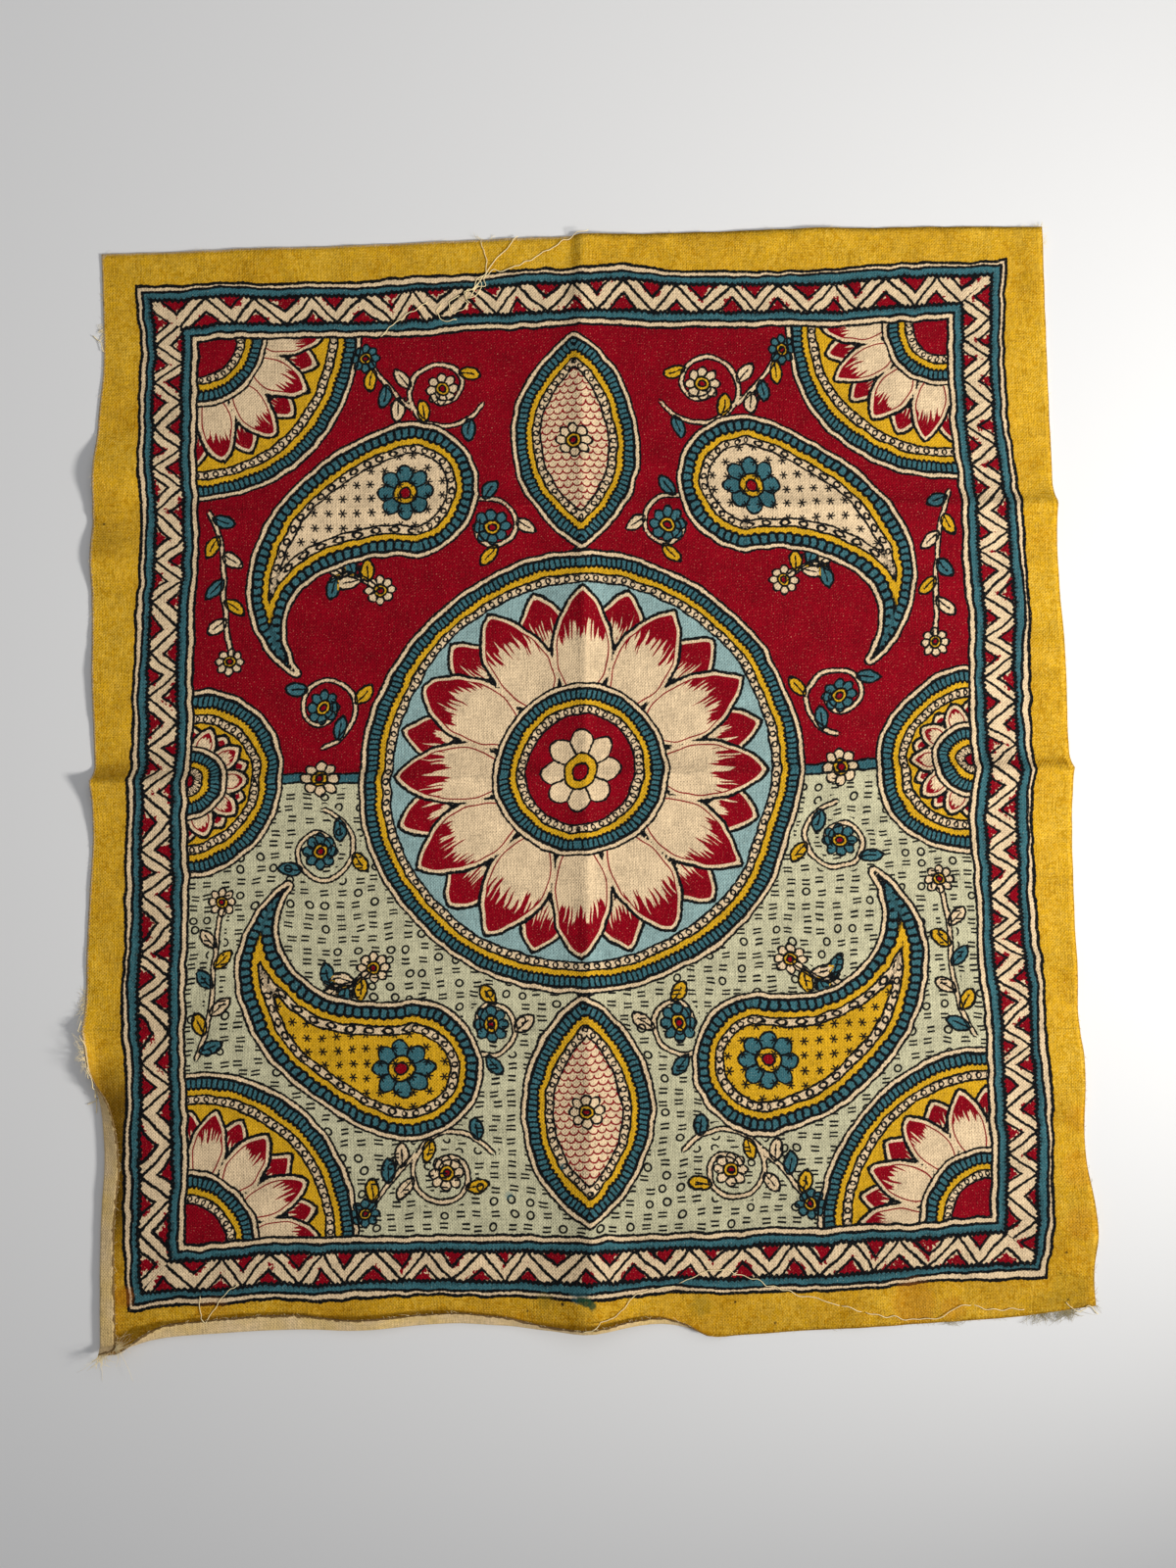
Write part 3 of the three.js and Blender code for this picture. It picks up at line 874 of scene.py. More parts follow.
looseThreads = {
    "radius": 0.21,
    "sides": 5,
    "spacing": 1.2,
    "clearance": 0.1,
    "lookAround": 3.2,  # square of how far around a yarn the cloth below it is looked for
    # seeded wander of each yarn: shortest and longest wave, count, how far sideways and upwards
    "wander": (5, 12, 6),
    "sideways": 0.4,
    "upwards": 0.15,
    # where each yarn runs over the sheet
    "runs": (
        ((-49, 292), (-47, 287), (-45.5, 281), (-47, 274), (-49, 270), (-53, 266), (-50, 268)),
        ((-28, 294), (-34, 289), (-41, 281), (-46, 275), (-48, 271), (-46, 269), (-50, 267), (-54, 262)),
        ((9, 296), (-4, 291), (-19, 283), (-33, 277), (-46, 274), (-52, 268), (-58, 262), (-55, 259)),
        ((-46, 274), (-51, 271), (-53, 267), (-58, 264), (-56, 261), (-51, 264), (-49, 269), (-52, 272)),
        ((-60, 263), (-66, 259), (-64, 254), (-57, 257), (-61, 262)),
        ((-70, 258), (-73, 254), (-70, 250), (-63, 249)),
        ((-78, 260), (-86, 255), (-95, 249), (-103, 242)),
        ((-11, -275), (-5, -274), (1, -272), (9, -268), (16, -262), (25, -259), (36, -258)),
        ((39, -257), (47, -253), (64, -251), (72, -254), (95, -263), (113, -268), (138, -275),
         (157, -278), (172, -277), (183, -272), (196, -274), (214, -275)),
        ((-206, -256), (-205, -266), (-202, -268), (-199, -263), (-194, -256), (-187, -250)),
        ((-265, -113), (-263, -124), (-260, -136), (-259, -146), (-258, -154), (-259, -162)),
        ((-262, -138), (-259, -141), (-257, -148), (-259, -156), (-263, -158)),
        ((-257, 247), (-253, 244), (-251, 238)),
        ((236, -272), (243, -277), (249, -275), (252, -279)),
    ),
}

frayedThreads = {
    "radius": 0.09,
    "tipShare": 0.45,  # a thread's radius at its tip, as a part of its radius at the edge
    "sides": 4,
    "steps": 5,
    "count": 1000,
    "shares": {"left": 0.28, "right": 0.28, "bottom": 0.26, "top": 0.18},
    "length": (0.6, 2.6),
    "tuftSpread": 0.006,
    "lowest": 0.14,
    # the middle and the spread of how far threads lean, curl and rise, in thread lengths
    "lean": (0, 0.5),
    "curl": (0, 0.6),
    "rise": (0.02, 0.06),
    "curlShortens": 0.25,
    # parts of the sheet: where threads are rooted, a point further in and one further along
    "rootIn": 0.0008,
    "innerIn": 0.006,
    "alongStep": 0.002,
    "seed": 23,
    # tufts where the weave has come undone: place along an edge, count, longest thread
    "tufts": (
        ("left", 0.0, 60, 11), ("bottom", 0.012, 40, 9), ("bottom", 0.972, 90, 8),
        ("right", 0.002, 14, 4), ("left", 0.262, 40, 7), ("left", 0.31, 30, 6),
        ("left", 0.925, 24, 5), ("right", 0.985, 16, 4), ("bottom", 0.945, 60, 7),
        ("bottom", 0.86, 30, 4), ("top", 0.995, 14, 4), ("top", 0.41, 12, 5),
    ),
}


# Even steps along a curve that passes through all its points, by the slopes at them
def smoothRun(points, spacing):
    points = np.array(points, float)
    lengths = np.hypot(*np.diff(points, axis=0).T)
    at = np.concatenate(((0,), np.cumsum(lengths)))
    slopes = np.gradient(points, at, axis=0)
    where = np.linspace(0, at[-1], max(int(at[-1] / spacing), 4))
    i = np.clip(np.searchsorted(at, where, side="right") - 1, 0, len(at) - 2)
    span = lengths[i][:, None]
    t = ((where - at[i]) / lengths[i])[:, None]
    start = points[i] * (1 + 2 * t) * (1 - t) ** 2 + slopes[i] * span * t * (1 - t) ** 2
    return start + points[i + 1] * t * t * (3 - 2 * t) - slopes[i + 1] * span * t * t * (1 - t)


# Height of the highest cloth near each place, from the cloth's own points
def clothTop(x, y, surface):
    far = (surface[0] - x[:, None]) ** 2 + (surface[1] - y[:, None]) ** 2
    return np.where(far < looseThreads["lookAround"], surface[2], 0).max(1)


# Round tubes along rows of points, all of the same number of steps, with closed ends
def tubes(paths, radius, sides):
    rows, steps, _ = paths.shape
    heading = np.gradient(paths, axis=1)
    heading /= np.linalg.norm(heading, axis=-1, keepdims=True) + 1e-9
    offEveryThread = (0.13, 0.21, 0.97)  # a direction that no thread runs in
    right = np.cross(heading, offEveryThread)
    right /= np.linalg.norm(right, axis=-1, keepdims=True)
    up = np.cross(right, heading)
    turn = np.linspace(0, math.tau, sides, endpoint=False)[:, None]
    ring = right[:, :, None] * np.cos(turn) + up[:, :, None] * np.sin(turn)
    points = paths[:, :, None] + ring * radius[..., None, None]
    index = np.arange(rows * steps * sides).reshape(rows, steps, sides)
    beside = np.roll(index, -1, axis=2)
    walls = np.stack((index[:, :-1], beside[:, :-1], beside[:, 1:], index[:, 1:]), -1)
    ends = np.concatenate((index[:, 0, ::-1], index[:, -1])).tolist()
    return points.reshape(-1, 3), walls.reshape(-1, 4).tolist() + ends


# One piece from the points and faces of several parts, none of them lower than the surface below
def threadPiece(name, parts):
    points, faces = [], []
    for partPoints, partFaces in parts:
        first = sum(len(p) for p in points)
        points.append(partPoints)
        faces += [[first + k for k in face] for face in partFaces]
    points = np.concatenate(points)
    clearOfSurface = 0.02
    points[:, 2] = np.maximum(points[:, 2], clearOfSurface)
    mesh = bpy.data.meshes.new(name)
    mesh.from_pydata((points * mm).tolist(), [], faces)
    mesh.shade_smooth()
    piece = bpy.data.objects.new(name, mesh)
    bpy.context.scene.collection.objects.link(piece)
    return piece


# Yarns lie on the cloth and wander a little from their runs
def makeYarns():
    surface = np.zeros(len(clothData.vertices) * 3, np.float32)
    clothData.vertices.foreach_get("co", surface)
    surface = surface.reshape(-1, 3).T / mm
    radius = looseThreads["radius"]
    parts = []
    for k, run in enumerate(looseThreads["runs"]):
        path = smoothRun(run, looseThreads["spacing"])
        x, y = path[:, 0], path[:, 1]
        wander = waveField(x, y, *looseThreads["wander"], k)
        x = x + looseThreads["sideways"] * wander - boxMiddle[0]
        acrossWander = waveField(x, y, *looseThreads["wander"], k + 50)
        y = y + looseThreads["sideways"] * acrossWander - boxMiddle[1]
        lift = radius + looseThreads["clearance"] + looseThreads["upwards"] * (1 + wander)
        path = np.stack((x, y, clothTop(x, y, surface) + lift), -1)
        parts.append(tubes(path[None], np.full((1, len(x)), radius), looseThreads["sides"]))
    return threadPiece("looseYarns", parts)


# Point of the cloth so far along a cut edge and so far in from it, in parts of the sheet
def edgePoint(edge, part, inwards):
    sides = {
        "left": (inwards, part),
        "right": (1 - inwards, part),
        "bottom": (part, inwards),
        "top": (part, 1 - inwards),
    }
    return layPoint(*sides[edge])


# Where threads are rooted and how long they are: evenly scattered ones, then the tufts
def frayLots(random):
    shortest, longest = frayedThreads["length"]
    lots = []
    for edge, share in frayedThreads["shares"].items():
        count = int(frayedThreads["count"] * share)
        lengths = random.uniform(shortest, longest, count) * random.uniform(0.4, 1, count)
        lots.append((edge, random.uniform(0, 1, count), lengths))
    for edge, middle, count, length in frayedThreads["tufts"]:
        parts = np.clip(middle + random.normal(0, frayedThreads["tuftSpread"], count), 0, 1)
        lots.append((edge, parts, length * random.uniform(0.3, 1, count)))
    return lots


# Threads run out from the cut edge, and lean evenly and curl by the square of their length along it
def frayPaths(random, edge, parts, lengths):
    rootIn = np.full(len(parts), frayedThreads["rootIn"])
    root = edgePoint(edge, parts, rootIn)
    out = root - edgePoint(edge, parts, np.full(len(parts), frayedThreads["innerIn"]))
    beside = edgePoint(edge, np.clip(parts + frayedThreads["alongStep"], 0, 1), rootIn) - root
    out /= np.linalg.norm(out, axis=-1, keepdims=True)
    beside /= np.linalg.norm(beside, axis=-1, keepdims=True) + 1e-9
    lean, curl, rise = (
        random.normal(*frayedThreads[habit], len(parts))[:, None, None]
        for habit in ("lean", "curl", "rise")
    )
    t = np.linspace(0, 1, frayedThreads["steps"])[None, :, None]
    outwards = t - frayedThreads["curlShortens"] * abs(curl) * t * t
    way = out[:, None] * outwards + beside[:, None] * (lean * t + curl * t * t)
    way = way + np.array((0, 0, 1)) * rise * t
    return root[:, None] + way * lengths[:, None, None]


# All frayed threads in one piece, each thinner towards its tip
def makeFray():
    random = np.random.default_rng(frayedThreads["seed"])
    paths = np.concatenate([frayPaths(random, *lot) for lot in frayLots(random)])
    paths[..., :2] -= boxMiddle
    paths[..., 2] = np.maximum(paths[..., 2], frayedThreads["lowest"])
    taper = np.linspace(1, frayedThreads["tipShare"], frayedThreads["steps"])
    radius = np.full(paths.shape[:2], frayedThreads["radius"]) * taper
    return threadPiece("frayedEdges", [tubes(paths, radius, frayedThreads["sides"])])


looseYarns = makeYarns()
frayedEdges = makeFray()
print("threads laid:", len(looseYarns.data.vertices), "and", len(frayedEdges.data.vertices), "points")


# The floor, camera and lights

stageSet = {
    "floorSize": 6,  # metres
    "floorDrop": 0.2,  # millimetres below the cloth
    "floorColour": (0.74, 0.73, 0.71, 1),
    # millimetres above the cloth and back from over its middle
    "cameraHeight": 614.2,
    "cameraBack": 32.2,
    "cameraRoll": 1.75,  # degrees between the photo's upright and the cloth's
    "lens": 27,
    # lamps: where they stand and aim, in metres from the cloth's middle, size, watts, colour
    "lamps": {
        "windowLight": ("SPOT", (1.04, -0.36, 0.68), (-0.5, 0.56, 0), 0.24, 88, (1.0, 0.99, 0.975)),
        "roomFill": ("AREA", (0.5, 0.885, 1.5), (0, 0, 0), 1.4, 7.2, (0.97, 0.98, 1.0)),
    },
    "windowSpread": 85,  # degrees
    "skyColour": (0.9, 0.93, 1.0, 1),
    "skyStrength": 0.28,
}


# A new material, with its node tree and its shader
def newMaterial(name, roughness, specular=0.5):
    material = bpy.data.materials.new(name)
    material.use_nodes = True
    shader = material.node_tree.nodes["Principled BSDF"]
    shader.inputs["Roughness"].default_value = roughness
    shader.inputs["Specular IOR Level"].default_value = specular
    return material, material.node_tree, shader


def makeFloor():
    half = stageSet["floorSize"] / 2
    mesh = bpy.data.meshes.new("floor")
    corners = [(-half, -half, 0), (half, -half, 0), (half, half, 0), (-half, half, 0)]
    mesh.from_pydata(corners, [], [(0, 1, 2, 3)])
    material, _, shader = newMaterial("palePlaster", 0.85)
    shader.inputs["Base Color"].default_value = stageSet["floorColour"]
    mesh.materials.append(material)
    floor = bpy.data.objects.new("floor", mesh)
    floor.location.z = -stageSet["floorDrop"] * mm
    bpy.context.scene.collection.objects.link(floor)
    return floor


# Turns a camera or lamp to look at a target, with its top towards the upward direction
def aim(thing, target, upward):
    back = (thing.location - target).normalized()
    right = upward.cross(back).normalized()
    turn = Matrix((right, back.cross(right), back)).transposed()
    thing.rotation_euler = turn.to_euler()


# The camera stands over the cloth's middle, a little back from it, rolled as the photo is
def makeCamera():
    roll = math.radians(stageSet["cameraRoll"])
    upward = Vector((math.sin(roll), math.cos(roll), 0))
    target = Vector((-boxMiddle[0], -boxMiddle[1], 0)) * mm
    lens = bpy.data.cameras.new("camera")
    lens.lens = stageSet["lens"]
    lens.sensor_width = 36
    lens.clip_start = 0.01
    camera = bpy.data.objects.new("camera", lens)
    camera.location = target - upward * stageSet["cameraBack"] * mm
    camera.location.z = stageSet["cameraHeight"] * mm
    aim(camera, target, upward)
    bpy.context.scene.collection.objects.link(camera)
    bpy.context.scene.camera = camera


# The lamps of the set, and an even sky
def makeLights():
    for name, (kind, place, target, size, watts, colour) in stageSet["lamps"].items():
        lamp = bpy.data.lights.new(name, kind)
        lamp.energy = watts
        lamp.color = colour
        if kind == "SPOT":
            lamp.shadow_soft_size = size / 2
            lamp.spot_size = math.radians(stageSet["windowSpread"])
            lamp.spot_blend = 1
        else:
            lamp.size = size
        holder = bpy.data.objects.new(name, lamp)
        holder.location = place
        aim(holder, Vector(target), Vector((0, 0, 1)))
        bpy.context.scene.collection.objects.link(holder)
    world = bpy.data.worlds.new("softSky")
    world.use_nodes = True
    sky = world.node_tree.nodes["Background"]
    sky.inputs["Color"].default_value = stageSet["skyColour"]
    sky.inputs["Strength"].default_value = stageSet["skyStrength"]
    bpy.context.scene.world = world


floor = makeFloor()
makeCamera()
makeLights()
bpy.context.scene.view_settings.view_transform = "Standard"
print("floor, camera and lights set")


# The materials

dyes = {  # as they look on a screen, 0 to 255
    "cotton": (214, 187, 148),
    "yarn": (236, 216, 166),
    "mustard": (200, 152, 26),
    "ochre": (180, 130, 14),
    "paleMustard": (222, 182, 72),
    "rust": (176, 100, 20),
    "umberAndShade": (86, 56, 4),
    "deepGreen": (34, 66, 42),
    "darkOlive": (82, 74, 34),
    "olive": (120, 108, 30),
    "madder": (128, 0, 18),
    "teal": (54, 98, 104),
    "ink": (12, 14, 16),
    "paleGreen": (184, 178, 144),
    "paleBlue": (134, 160, 156),
}

brush = {
    "edge": 0.3,  # millimetres over which a dye's edge blurs into the threads
    "roughness": 0.7,  # unevenness of a drawn line's width
    "pen": 0.62,  # half a drawn line's width
    "spread": 0.2,  # how far ink runs out from every line
}


# A dye as light: a screen's value is nearly a power of the light, and even close to black
def fromScreen(name):
    dye = np.array(dyes[name]) / 255
    linear = np.where(dye < 0.0404, dye / 12.92, ((dye + 0.055) / 1.055) ** 2.4)
    return (*linear.tolist(), 1)


# A value in a node tree: the usual signs add the Math nodes that work it out
class Value:
    def __init__(self, tree, socket):
        self.tree = tree
        self.socket = socket

    def calc(self, operation, *others, clamp=False):
        node = self.tree.nodes.new("ShaderNodeMath")
        node.operation = operation
        node.use_clamp = clamp
        for slot, term in zip(node.inputs, (self, *others)):
            if isinstance(term, Value):
                self.tree.links.new(term.socket, slot)
            else:
                slot.default_value = term
        return Value(self.tree, node.outputs[0])

    def __add__(self, other):
        return self.calc("ADD", other)

    def __sub__(self, other):
        return self.calc("SUBTRACT", other)

    def __rsub__(self, other):
        return self.calc("MULTIPLY_ADD", -1, other)

    def __mul__(self, other):
        return self.calc("MULTIPLY", other)

    def __abs__(self):
        return self.calc("ABSOLUTE")

    __radd__ = __add__
    __rmul__ = __mul__


# Where several masks meet, or the nearest of several distances
def least(first, *others):
    for other in others:
        first = first.calc("MINIMUM", other)
    return first


# Where any of several masks lies
def most(first, *others):
    for other in others:
        first = first.calc("MAXIMUM", other)
    return first


# 1 where the distance is less than nothing, blurred over the brush's edge
def within(distance, edge=None):
    edge = edge or brush["edge"]
    return distance.calc("MULTIPLY_ADD", -1 / edge, 0.5, clamp=True)


# 1 where the distance is more than nothing
def beyond(distance, edge=None):
    edge = edge or brush["edge"]
    return distance.calc("MULTIPLY_ADD", 1 / edge, 0.5, clamp=True)


# Held between nothing and 1
def limited(value):
    return value.calc("ADD", 0, clamp=True)


# One value within a mask and another outside it
def choose(mask, inside, outside):
    return mask.calc("MULTIPLY_ADD", inside - outside, outside)


def vectorParts(tree, socket):
    node = tree.nodes.new("ShaderNodeSeparateXYZ")
    tree.links.new(socket, node.inputs[0])
    return [Value(tree, output) for output in node.outputs]


def vectorOf(tree, *parts):
    node = tree.nodes.new("ShaderNodeCombineXYZ")
    for slot, part in zip(node.inputs, parts):
        tree.links.new(part.socket, slot)
    return node.outputs[0]


def scaled(tree, vector, factors):
    node = tree.nodes.new("ShaderNodeVectorMath")
    node.operation = "MULTIPLY"
    tree.links.new(vector, node.inputs[0])
    node.inputs[1].default_value = factors
    return node.outputs[0]


# The first two parts of a place, in millimetres
def inMillimetres(tree, vector):
    x, y, _ = vectorParts(tree, scaled(tree, vector, (1 / mm, 1 / mm, 1)))
    return x, y


# Length of a step across and up
def hypotenuse(x, y):
    node = x.tree.nodes.new("ShaderNodeVectorMath")
    node.operation = "LENGTH"
    x.tree.links.new(vectorOf(x.tree, x, y), node.inputs[0])
    return Value(x.tree, node.outputs["Value"])


# The three fields that are kept under one name
def fieldParts(tree, name):
    node = tree.nodes.new("ShaderNodeAttribute")
    node.attribute_name = name
    return vectorParts(tree, node.outputs["Vector"])


def mapPlace(tree, name):
    node = tree.nodes.new("ShaderNodeUVMap")
    node.uv_map = name
    return node.outputs[0]


# Cloudy variation about nothing, from about -0.5 to 0.5; pitch is in millimetres
def cloud(tree, vector, pitch, detail=0.0, stretch=(1, 1, 1), twist=0.0):
    node = tree.nodes.new("ShaderNodeTexNoise")
    node.noise_dimensions = "2D"
    factors = [s / (pitch * mm) for s in stretch]
    tree.links.new(scaled(tree, vector, factors), node.inputs["Vector"])
    node.inputs["Scale"].default_value = 1
    node.inputs["Detail"].default_value = detail
    node.inputs["Distortion"].default_value = twist
    return Value(tree, node.outputs["Fac"]) - 0.5


# Lays one colour over another through a mask
def paintOver(tree, under, over, mask):
    node = tree.nodes.new("ShaderNodeMix")
    node.data_type = "RGBA"
    for slot, colour in ((node.inputs[6], under), (node.inputs[7], over)):
        if isinstance(colour, str):
            slot.default_value = fromScreen(colour)
        else:
            tree.links.new(colour, slot)
    tree.links.new(mask.socket, node.inputs[0])
    return node.outputs[2]


# Everything that is drawn in ink gathers here: a stroke lies where the distance is near nothing
class Pen:
    def __init__(self, rough):
        self.rough = rough
        self.drawn = None

    def add(self, mask):
        self.drawn = most(self.drawn, mask) if self.drawn else mask

    def stroke(self, distance, half=None, *limits):
        half = (half or brush["pen"]) + brush["spread"]
        mask = within(abs(distance) + self.rough - half)
        self.add(least(mask, *limits))


borderDrawing = {
    "scallops": 10,  # to each triangle
    "scallopDepth": 0.9,
    "wander": (60, 3.6),  # pitch and size of the outer teal band's unevenness
    "zigzagHeight": 14.9,
    "slant": 9.6,  # turns height up the zigzag into distance from its line
    "chevronHalf": 4.9,
    "chevronWander": (16, 2.2),
    "raggedness": ((1.8, 1.0, 5), (7, 0, 6)),  # of the red's edge: pitch, detail, size
    "wet": (1.6, 0.6, 1.2),  # runs of ink beside the scallops: how far in, half width, softness
    "outerPen": 0.66,
    "pen": 0.55,
    "scallopPen": 0.85,
}


# The border: bands by their depth from its outer line, and zigzags along its middle
def paintBorder(tree, colour, pen, depth, zig, rough):
    border, drawing = paintedDesign["border"], borderDrawing
    threads = mapPlace(tree, "threads")
    scallop = abs((zig * (drawing["scallops"] * math.pi)).calc("SINE")) * drawing["scallopDepth"]
    pitch, wander = drawing["wander"]
    fromOuter = depth - border["outerScallops"] - scallop
    fromBand = depth - border["outerTeal"] + cloud(tree, threads, pitch) * wander
    fromInner = depth - border["innerScallops"] + scallop
    fromInnerLine = depth - border["innerLine"]
    band = least(beyond(fromOuter), within(fromInner))

    peak = zig.calc("PINGPONG", 0.5) * 2
    height = (depth - border["zigzag"]) * (1 / drawing["zigzagHeight"])
    across = (height - peak) * drawing["slant"]
    pitch, wander = drawing["chevronWander"]
    fromChevron = abs(across) + cloud(tree, threads, pitch) * wander - drawing["chevronHalf"]
    fine, coarse = drawing["raggedness"]
    ragged = cloud(tree, threads, *fine[:2]) * fine[2] + cloud(tree, threads, *coarse[:2]) * coarse[2]
    colour = paintOver(tree, colour, "madder", least(beyond(fromChevron + ragged), band))

    outerTeal = least(beyond(fromBand + rough), within(fromOuter))
    innerTeal = least(beyond(fromInner), within(fromInnerLine + rough))
    colour = paintOver(tree, colour, "teal", most(outerTeal, innerTeal))
    wetIn, wetHalf, softness = drawing["wet"]
    wetOuter = within(abs(fromOuter + wetIn) - wetHalf, softness)
    wetInner = within(abs(fromInner - wetIn) - wetHalf, softness)
    wet = most(wetOuter, wetInner) * (ragged * 0.16 + 0.3)
    colour = paintOver(tree, colour, "ink", limited(wet))

    pen.stroke(depth, drawing["outerPen"])
    pen.stroke(fromOuter, drawing["scallopPen"])
    pen.stroke(fromInner, drawing["scallopPen"])
    for line in (fromBand, fromInnerLine, depth - border["fieldLine"]):
        pen.stroke(line, drawing["pen"])
    for line in (across, fromChevron):
        pen.stroke(line, drawing["pen"], band)
    return colour


groundMarks = {
    "dashCell": (8.5, 6.2),
    "dashShift": (3, 1.6),
    "dashGap": 1.05,  # from the middle between two dashes to each of them
    "dashHalfLength": 2.1,
    "ringRadius": 1.75,
    "ringShare": 0.22,
    "scaleCell": (4.6, 3.6),
    "scaleRadius": 2.4,
    "starCell": 7.6,
    "starRadius": 2.3,
    "markPen": 0.52,
    "starPen": 0.42,
}


# Pairs of short dashes with a small ring here and there, one to each cell of a net
def dashMarks(a, b):
    tree = a.tree
    width, height = groundMarks["dashCell"]
    column = a * (1 / width)
    row = b * (1 / height)
    cell = vectorOf(tree, column.calc("FLOOR"), row.calc("FLOOR"))
    random = tree.nodes.new("ShaderNodeTexWhiteNoise")
    random.noise_dimensions = "2D"
    tree.links.new(cell, random.inputs["Vector"])
    shiftX, shiftY, kind = vectorParts(tree, random.outputs["Color"])
    mostX, mostY = groundMarks["dashShift"]
    x = (column.calc("FRACT") - 0.5) * width + (shiftX - 0.5) * mostX
    y = (row.calc("FRACT") - 0.5) * height + (shiftY - 0.5) * mostY
    half = groundMarks["markPen"]
    fromDash = abs(abs(y) - groundMarks["dashGap"]) - half
    dash = least(within(fromDash), within(abs(x) - groundMarks["dashHalfLength"]))
    ring = within(abs(hypotenuse(x, y) - groundMarks["ringRadius"]) - half)
    isRing = kind.calc("GREATER_THAN", 1 - groundMarks["ringShare"])
    return choose(isRing, ring, dash)


# Rows of round scales, each row half a scale further on
def scaleMarks(a, b):
    width, height = groundMarks["scaleCell"]
    row = b * (1 / height)
    shift = row.calc("FLOOR") * 0.5
    x = ((a * (1 / width) + shift).calc("FRACT") - 0.5) * width
    y = (row.calc("FRACT") - 1) * height
    return within(abs(hypotenuse(x, y) - groundMarks["scaleRadius"]) - groundMarks["starPen"])


# Stars of three crossed strokes in a net of cells
def starMarks(a, b):
    cell = groundMarks["starCell"]
    x = ((a * (1 / cell)).calc("FRACT") - 0.5) * cell
    y = ((b * (1 / cell)).calc("FRACT") - 0.5) * cell
    slant = x * math.cos(math.pi / 6)
    strokes = least(abs(y), abs(slant + y * 0.5), abs(slant - y * 0.5))
    reach = within(hypotenuse(x, y) - groundMarks["starRadius"])
    return least(within(strokes - groundMarks["starPen"]), reach)


# Lines and bands of every figure, by how far they lie inside its outline
figureDrawing = {
    "collar": 3,  # width of the pale band outside the outline
    "beads": 4.7,
    "beadBulge": 0.9,
    "beadPitch": 2.8,
    "mustard": 9.2,
    "ringlets": 11.3,
    "ringletRadius": 1.3,
    "heart": 13.4,
    "linePen": 0.4,
    "beadPen": 0.34,
    "ringletPen": 0.32,
}


# Figures: rings of beads and bands by the distance from their outline, and their fillings
def paintFigures(tree, colour, pen, a, b):
    drawing = figureDrawing
    outer, inner, run = fieldParts(tree, "figure")
    _, _, filling = fieldParts(tree, "stem")
    distance = choose(inner.calc("LESS_THAN", paintedDesign["innerRingReach"]), inner, outer)
    beadEnd = distance + drawing["beads"] + abs((run * math.pi).calc("SINE")) * drawing["beadBulge"]
    fromCollar = distance - drawing["collar"]
    fromMustard = distance + drawing["mustard"]
    fromHeart = distance + drawing["heart"]
    bands = (("cotton", fromCollar), ("teal", distance), ("mustard", beadEnd), ("cotton", fromMustard))
    for dye, line in bands:
        colour = paintOver(tree, colour, dye, within(line))
    for line in (fromCollar, fromMustard, fromHeart):
        pen.stroke(line, drawing["linePen"])
    for line in (distance, beadEnd):
        pen.stroke(line)
    beadSide = (0.5 - abs(run.calc("FRACT") - 0.5)) * drawing["beadPitch"]
    pen.stroke(beadSide, drawing["beadPen"], within(distance), beyond(beadEnd))
    pair = (run * 0.5).calc("FRACT") - 0.5
    ringlet = hypotenuse(distance + drawing["ringlets"], pair * (2 * drawing["beadPitch"]))
    pen.stroke(ringlet - drawing["ringletRadius"], drawing["ringletPen"])

    # fillings 1 pale blue, 2 and 3 mustard, 4 cotton with scales, 5 stars on cotton or on mustard
    heart = within(fromHeart)
    colour = paintOver(tree, colour, "paleBlue", heart)
    colour = paintOver(tree, colour, "mustard", least(heart, filling.calc("GREATER_THAN", 1.5)))
    colour = paintOver(tree, colour, "madder", least(heart, within(inner)))
    patterned = least(heart, filling.calc("GREATER_THAN", 3.5))
    starred = least(patterned, filling.calc("GREATER_THAN", 4.5))
    scaly = least(patterned, filling.calc("LESS_THAN", 4.5))
    colour = paintOver(tree, colour, "cotton", patterned)
    colour = paintOver(tree, colour, "mustard", least(starred, within(b)))
    colour = paintOver(tree, colour, "madder", least(scaleMarks(a, b), scaly))
    pen.add(least(starMarks(a, b), starred))
    return colour


petalDrawing = {
    "clearOfRing": 3.2,
    "redLine": (2.6, 0.36),  # its distance inside the outline, and half its width
    "redStart": 0.62,  # part of the way from foot to tip
    "redEdge": 0.03,
    "strokes": (1.5, 0.42),  # pitch of the brush strokes, and how far they run
    "raggedness": (5, 0.12),
    "strokeLength": 4,
}


# Petals: red brushed down from the tip, and a red line within the outline
def paintPetals(tree, colour, pen, threads):
    drawing = petalDrawing
    front, behind, reach = fieldParts(tree, "petal")
    _, _, around = fieldParts(tree, "zigzag")
    _, inner, _ = fieldParts(tree, "figure")
    clear = beyond(inner - drawing["clearOfRing"])
    depth = choose(front.calc("LESS_THAN", 0), front, behind)
    colour = paintOver(tree, colour, "cotton", least(within(least(front, behind)), clear))
    inside, half = drawing["redLine"]
    fromLine = depth + inside
    pitch, size = drawing["strokes"]
    place = vectorOf(tree, around * mm, reach * (drawing["strokeLength"] * mm))
    strokes = cloud(tree, place, pitch) * size
    pitch, size = drawing["raggedness"]
    start = reach + strokes + cloud(tree, threads, pitch) * size - drawing["redStart"]
    line = least(within(abs(fromLine) - half), clear)
    tip = least(beyond(start, drawing["redEdge"]), within(fromLine), clear)
    colour = paintOver(tree, colour, "madder", most(line, tip))
    pen.stroke(front, None, clear)
    pen.stroke(behind, None, clear, beyond(front))
    return colour


